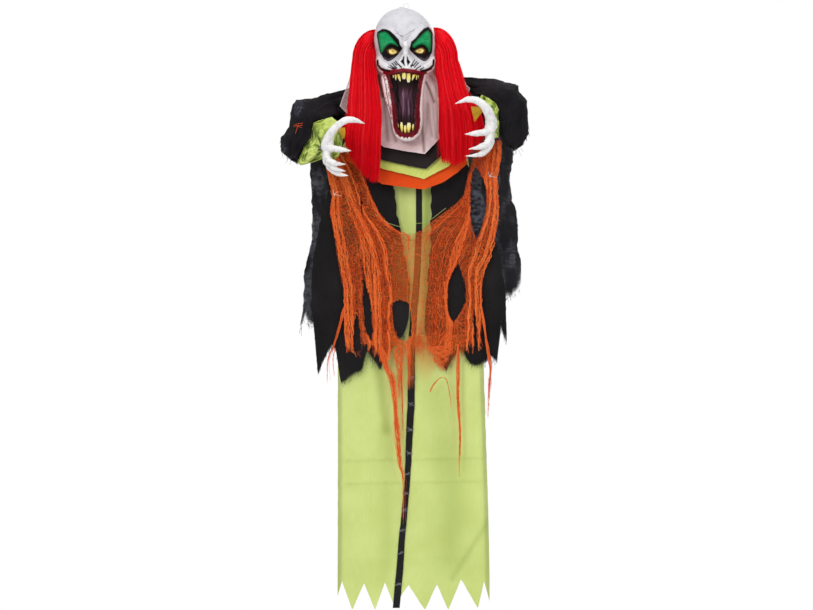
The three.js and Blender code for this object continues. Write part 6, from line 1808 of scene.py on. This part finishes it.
# Each tail: its line, half its width where it starts and its count of threads
NET_TAILS = [
    ([(381, 346), (386, 366), (393, 384), (397, 430), (400, 464), (403.6, 482), (403, 541)], 4.0, 46),
    ([(401, 345), (402, 384), (403, 441)], 1.2, 12),
    ([(458, 344), (458, 396), (460, 433), (459, 478)], 2.6, 34),
    ([(430, 392), (433.5, 385), (440, 378), (446, 379), (449.4, 392), (451, 410)], 0.8, 8),
    ([(481, 306), (487, 345), (490.5, 366), (489, 390), (488, 419)], 3.0, 30),
    ([(344.6, 306), (335, 342), (328, 360), (327, 386)], 1.6, 14),
    ([(335, 348), (333, 362), (334.5, 377)], 0.7, 5),
    ([(409.6, 346), (409.4, 366), (409, 390)], 3.2, 30),
    ([(398, 348), (399, 370), (400, 402)], 7.0, 26),
    ([(440, 346), (441, 358), (442, 372)], 15.0, 46),
    ([(478.6, 322), (479, 336), (479.4, 352)], 2.0, 12),
    ([(449, 330), (436, 352), (434.6, 366)], 1.6, 10),
]
NET_KNOTS = {LEFT: (334.6, 194.5), RIGHT: (490, 176)}


def hole_at(hole, py):
    """A hole's middle and half its width at each level."""
    middle, half = read_off(hole, py)
    return middle, half * (py <= hole[-1][0])


def net_places(u, py):
    """Where threads at shares u across the net lie at the levels py, and whether a hole cuts them there."""
    left, right = along_line(NET_LEFT, py), along_line(NET_RIGHT, py)
    reach = 34 * (1 - np.abs(1 - np.abs(2 * u - 1)) ** 1.5)
    near, far = sum(np.array(read_off(NET_NECK, py + reach * shift)) for shift in NECK_BLUR) / len(NECK_BLUR)
    px = np.where(u < 0.5, left + (near - left) * 2 * u, far + (right - far) * (2 * u - 1))
    cut = np.zeros(px.shape, bool)
    for hole in NET_HOLES:
        middle, half = hole_at(hole, py)
        gap = np.abs(px - middle)
        moved = gap + 0.85 * half * np.exp(-gap / (0.9 * half + 0.01))
        cut |= (moved < half) & (half > 0.3)
        px = middle + np.where(px < middle, -1, 1) * moved
    return px, cut


def net_foot(u):
    """The hem's level under shares u across the net."""
    return along_line(NET_HEM, 344 + 137 * u)


def net_missing(px, py):
    """The share of threads missing at a place."""
    missing = np.zeros(px.shape)
    for (cx, cy), (wide, tall), share in NET_THIN:
        missing = np.maximum(missing, share * np.exp(-(((px - cx) / wide) ** 4) - ((py - cy) / tall) ** 4))
    return missing


def net_threads(paths, widths, kept, tone):
    """Points, faces and tones of thin flat threads; kept says which stretches are there."""
    points, faces = ribbons(paths, widths, np.array([0.12, 1.0, 0.06]))
    steps = paths.shape[1]
    return points, faces[kept.reshape(-1)], np.repeat(tone, 2 * steps)


def warp_threads(draw, count, steps):
    """The lengthwise threads: some loose, the others in bunches."""
    loose = count * 60 // 100
    free = draw.random(loose)
    drawn = draw.choice(NET_BUNCHES, count - loose) + draw.normal(0, 0.012, count - loose)
    u = np.clip(np.concatenate([free, drawn]), 0, 1)
    lane, t = u[:, None] * 400, spaced(0, 1, steps)[None, :]
    foot = net_foot(u) + draw.uniform(-5, 5, count) + 9 * draw.random(count) ** 4
    start = NET_TOP + 9 * draw.random((count, 1)) ** 2
    py = start + (foot[:, None] - start) * t
    drift = 0.006 * wander(py / 22, lane, 301) + 0.016 * wander(py / 60, u[:, None] * 9, 307, 2)
    px, cut = net_places(np.clip(u[:, None] + drift, 0, 1), py)
    jump = np.abs(np.diff(px, axis=1)) < 4
    px = px + 1.2 * wander(py / 4, lane * 1.7, 303) + 0.3 * np.sin(py * 1.9 + lane)
    bunched = np.min(np.abs(u[:, None] - np.array(NET_BUNCHES)[None, :]), axis=1) < 0.012
    kept = ~cut & (draw.random(count)[:, None] > net_missing(px, py))
    top = (np.abs(u - 0.5) < 0.2) & (draw.random(count) < 0.45)
    kept &= ~(top[:, None] & (py < 205 + 30 * draw.random(count)[:, None]))
    depth = NET_Y - 0.0016 * np.abs(wander(py / 16, lane / 9, 305)) - 0.0012 * bunched[:, None]
    widths = np.where(bunched, 0.0012, 0.0007)[:, None] * (0.8 + 0.4 * draw.random((count, 1))) + 0 * t
    tone = np.clip(np.where(bunched, 0.72, 0.4) + draw.normal(0, 0.24, count), 0, 1)
    return net_threads(seen(px, py, depth), widths, kept[:, 1:] & jump, tone)


def curled_fibres(draw, count, steps):
    """Short curled fibres all over the net, as its crushed threads lie."""
    u, py = draw.random(count), draw.uniform(NET_TOP, 346, count)
    px, cut = net_places(u, py)
    t = spaced(0, 1, steps)[None, :]
    heading = draw.uniform(0, FULL_TURN, count)[:, None] + draw.normal(0, 2.6, count)[:, None] * t
    run = draw.uniform(3, 9, count)[:, None] / steps
    px = px[:, None] + np.cumsum(np.cos(heading), 1) * run * 0.7
    py = py[:, None] + np.cumsum(np.sin(heading), 1) * run
    left, right = along_line(NET_LEFT, py), along_line(NET_RIGHT, py)
    near, far = read_off(NET_NECK, py)
    beside_neck = (px < near + 0.5) | (px > far - 0.5)
    kept = (px > left) & (px < right) & beside_neck & (py < along_line(NET_HEM, px))
    for hole in NET_HOLES:
        middle, half = hole_at(hole, py)
        kept &= np.abs(px - middle) > half - 1.2
    kept &= ~cut[:, None] & (draw.random(count)[:, None] > 0.8 * net_missing(px, py))
    tone = np.clip(draw.normal(0.5, 0.28, count), 0, 1)
    depth = NET_Y - draw.uniform(0.0008, 0.0026, count)[:, None] + 0 * t
    return net_threads(seen(px, py, depth), 0.0007, kept[:, 1:], tone)


def weft_threads(draw, count, steps):
    """The cross threads, each torn where the net is thin."""
    level = (spaced(NET_TOP + 3, 346, count) + draw.uniform(-0.8, 0.8, count))[:, None]
    u = spaced(0.002, 0.998, steps)[None, :]
    bend = 1.5 * wander(u * 26, level / 3, 311) + 0.7 * wander(u * 90, level, 313, 2)
    py = level + bend + 3.0 * wander(u * 3, level / 30, 315)
    px, cut = net_places(u + 0 * py, py)
    px = px + 0.5 * wander(u * 70, level * 1.3, 317, 2)
    torn = 0.5 + 0.5 * wander(u * 34, level / 1.5, 319, 2)
    kept = ~cut & (torn > net_missing(px, py) * 0.9) & (torn > 0.16)
    jump = np.abs(np.diff(px, axis=1)) < 4.5
    above_hem = py < along_line(NET_HEM, px) - 1
    beside_neck = (np.abs(u - 0.5) * 2 * steps > 2) | (py > 236)
    depth = NET_Y + 0.0007 * np.sin(u * 500 + level)
    tone = np.clip(0.4 + draw.normal(0, 0.18, count), 0, 1)
    kept = (kept & above_hem & beside_neck)[:, 1:] & jump
    return net_threads(seen(px, py, depth), 0.00075 * (0.8 + 0.5 * torn), kept, tone)


def tail_threads(draw, line, half, count, steps):
    line = np.array(line, float)
    t = spaced(0, 1, steps)[None, :] * draw.uniform(0.45, 1.0, count)[:, None] ** 0.6
    place = np.stack([spline(line, row * (len(line) - 1)) for row in t])
    uneven = 1 + 0.45 * wander(t * 7, half, 323)
    twist = np.cos(t * 9 + draw.uniform(0, FULL_TURN, count)[:, None])
    aside = draw.uniform(0.25, 1, count)[:, None] * twist * half * uneven
    aside = aside * (1 - 0.8 * t**0.8) * smooth(t * 9 + 0.25)
    stray = (draw.random(count) < 0.08)[:, None] * draw.normal(0, 2.2, count)[:, None] * t**2
    px = place[..., 0] + aside + stray + 0.55 * wander(t * 18, np.arange(count)[:, None] * 1.3, 321)
    depth = NET_Y - 0.0010 - 0.0014 * draw.random(count)[:, None] + 0 * t
    tone = np.clip(0.5 + draw.normal(0, 0.26, count), 0, 1)
    widths = 0.0010 * (1 - 0.5 * t)
    return net_threads(seen(px, place[..., 1], depth), widths, np.ones((count, steps - 1), bool), tone)


def joined(groups):
    """Points, faces and tones of several groups as one."""
    points, faces, tones = zip(*groups)
    starts = np.cumsum([0] + [len(group) for group in points])
    faces = np.vstack([group + start for group, start in zip(faces, starts)])
    return np.vstack(points), faces, np.concatenate(tones)


# The white tack at each side: the ends of its thread, from the tack's own place
TACK_ENDS = [[(0, 0), (3, 0.6), (7, 1.6)], [(0, 0), (-1.6, -2.4), (-1.0, -4.2)],
             [(0, 0), (1.4, -1.8), (3.4, -3.0)]]
PALE_STRANDS = [[(375, 214), (386, 222), (400, 227)], [(414, 224), (428, 221), (446, 208)],
                [(399, 233), (408, 234), (417, 233)]]
WARPS, WEFTS, FIBRES = (330, 130), (120, 330), (4600, 9)
TAIL_STEPS = 26


def build_net():
    draw = np.random.default_rng(331)
    groups = [warp_threads(draw, *WARPS), weft_threads(draw, *WEFTS), curled_fibres(draw, *FIBRES)]
    groups += [tail_threads(draw, *tail, TAIL_STEPS) for tail in NET_TAILS]
    points, faces, tone = joined(groups)
    net = add_piece("net_threads", points, faces, NET, "gown", tone=tone)
    goes_with = [net]
    for side, knot_place in NET_KNOTS.items():
        t = spaced(0, 1, 40)
        lean, turn = draw.uniform(0, math.pi, 9)[:, None], FULL_TURN * t[None, :]
        loops = np.stack([np.cos(turn) * np.cos(lean), 0.75 * np.sin(turn) + 0 * lean,
                          np.cos(turn) * np.sin(lean)], -1)
        loops = seen(*knot_place, NET_Y - 0.0032) + loops * 0.0026
        ends = np.array(TACK_ENDS) + knot_place
        loose = np.stack([seen(*spline(end, 2 * t).T, NET_Y - 0.0026) for end in ends])
        points, faces = tubes(np.vstack([loops, loose]), THREAD_WIDE, 4)
        knot = add_piece(f"net_tack_{side}", points, faces, WHITE_THREAD, "gown",
                         tone=np.full(len(points), 0.7))
        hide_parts(f"net_knot_{side}")
        goes_with.append(knot)
    strands = np.array(PALE_STRANDS, float)
    paths = np.stack([seen(*spline(line, spaced(0, 2, 24)).T, NET_Y - 0.001) for line in strands])
    points, faces = tubes(paths, 0.0006, 4)
    goes_with.append(add_piece("net_pale_threads", points, faces, GREEN_THREAD, "gown",
                               tone=np.full(len(points), 0.9)))
    build_net_gauze(goes_with)


# Loose wisps below the hem: down the grid, left edge, right edge and how open the mesh is
NET_WISPS = [
    [(336, 412, 438, 0.0), (350, 413, 440, 0.1), (362, 414, 440, 0.35), (374, 415, 436, 0.7),
     (386, 417, 430, 1)],
    [(340, 391, 407, 0.2), (370, 393, 407, 0.45), (400, 396, 406, 0.6), (430, 398.5, 405.5, 0.7),
     (462, 401, 405, 1)],
    [(336, 407, 415, 0.1), (350, 407, 415, 0.1), (372, 407.5, 415, 0.25), (384, 408, 414.6, 0.6),
     (390, 408.4, 414, 1)],
    [(334, 436, 468, 0.1), (350, 437, 466, 0.4), (366, 440, 462, 0.8), (374, 442, 458, 1)],
    [(336, 374, 398, 0.1), (346, 377, 396, 0.5), (360, 382, 392, 1)],
]


def build_net_gauze(goes_with):
    rows, columns = 170, 260
    u, t = spaced(0.004, 0.996, columns)[None, :], spaced(0, 1, rows)[:, None]
    foot = net_foot(u) + 2.5 * wander(u * 60, 2, 341)
    py = NET_TOP + (foot - NET_TOP) * t
    px, cut = net_places(u + 0 * t, py)
    middle = np.abs(np.diff(px, axis=1)) < 4.5
    gone = cut[:-1, :-1] | cut[1:, 1:] | cut[1:, :-1] | cut[:-1, 1:]
    depth = NET_Y + 0.0012 + 0.0008 * wander(px / 4, py / 18, 343)
    points = seen(px, py, depth)
    open_places = 0.5 + 0.5 * wander(px / 5, py / 14, 345)
    worn = 0.35 * open_places + 0.8 * smooth((t - 0.95) / 0.05) + smooth((0.03 - t) / 0.02) - 0.2
    worn = np.clip(worn, 0, 1)
    kept = ~gone & middle[1:]
    veil = 0.85 * np.exp(-(((px - 408 + 0.06 * (py - 290)) / 22) ** 4) - ((py - 290) / 62) ** 6)
    veil = np.clip(veil + 0.5 * smooth((py - 320) / 30), 0, 1)
    gauze = cloth_grid("net_gauze_cloth", points, NET_GAUZE, "gown", kept=kept, worn=worn, shaded=veil)
    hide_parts("net_front")
    for number, line in enumerate(NET_WISPS):
        py, px, share, _, _, bare = strip_between(line, 60, 16)
        px = px + 0.6 * wander(py / 8, share * 3, 351 + number)
        worn = np.clip(bare + 0.6 * (2 * share - 1) ** 4, 0, 1)
        goes_with.append(cloth_grid(f"net_wisp_{number}", seen(px, py, NET_Y + 0.0016), NET_GAUZE, "gown",
                                    worn=worn, shaded=np.full(px.shape, 0.9)))
    area_of(points, kept)


build_net()


def ring_grid(node, swell, sides, rows):
    """Rings that fill a node's box; swell says how full they are at each turn and rise."""
    low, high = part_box(node)
    turn, rise = round_turn(sides)[None, :], spaced(0, 1, rows)[:, None]
    middle, reach, full = (low + high) / 2, (high - low) / 2, swell(turn, rise)
    x, y = middle.x + reach.x * full * np.cos(turn), middle.y + reach.y * full * np.sin(turn)
    return np.stack([x, y, low.z + (high.z - low.z) * rise + 0 * turn], -1)


def pad_bulge(turn, rise):
    return 0.98 * (1 - 0.12 * (2 * rise - 1) ** 4 + 0.01 * wander(turn * 5, rise * 4, 361))


def band_gathers(turn, rise):
    return 0.982 + 0.014 * np.cos(36 * turn + np.sin(7 * turn)) * (0.6 + 0.4 * rise)


def build_neck():
    """The foam pad under the head, the gathered band that holds the collar, and the bare metal's finish."""
    points, faces = closed_limb(ring_grid("neck_pad", pad_bulge, 40, 12))
    pad = add_mixed("neck_foam", points, faces, FOAM, "head_and_shoulders")
    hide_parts("neck_pad")
    points = ring_grid("collar_band", band_gathers, 180, 9)
    band = cloth_grid("collar_band_cloth", points, BLACK_COLLAR, "head_and_shoulders", closed=True)
    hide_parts("collar_band")
    area_of(points)
    steel = ["neck_post", "shoulder_bar", "crown_washer", "crown_nut"]
    steel += [f"{part}_wire_{side}" for part in ("upper", "fore") for side in (LEFT, RIGHT)]
    for name, finish in {"hanging_eye": CLAW, **dict.fromkeys(steel, STEEL)}.items():
        for slot in frame["nodes"][name].material_slots:
            slot.material = finish


build_neck()
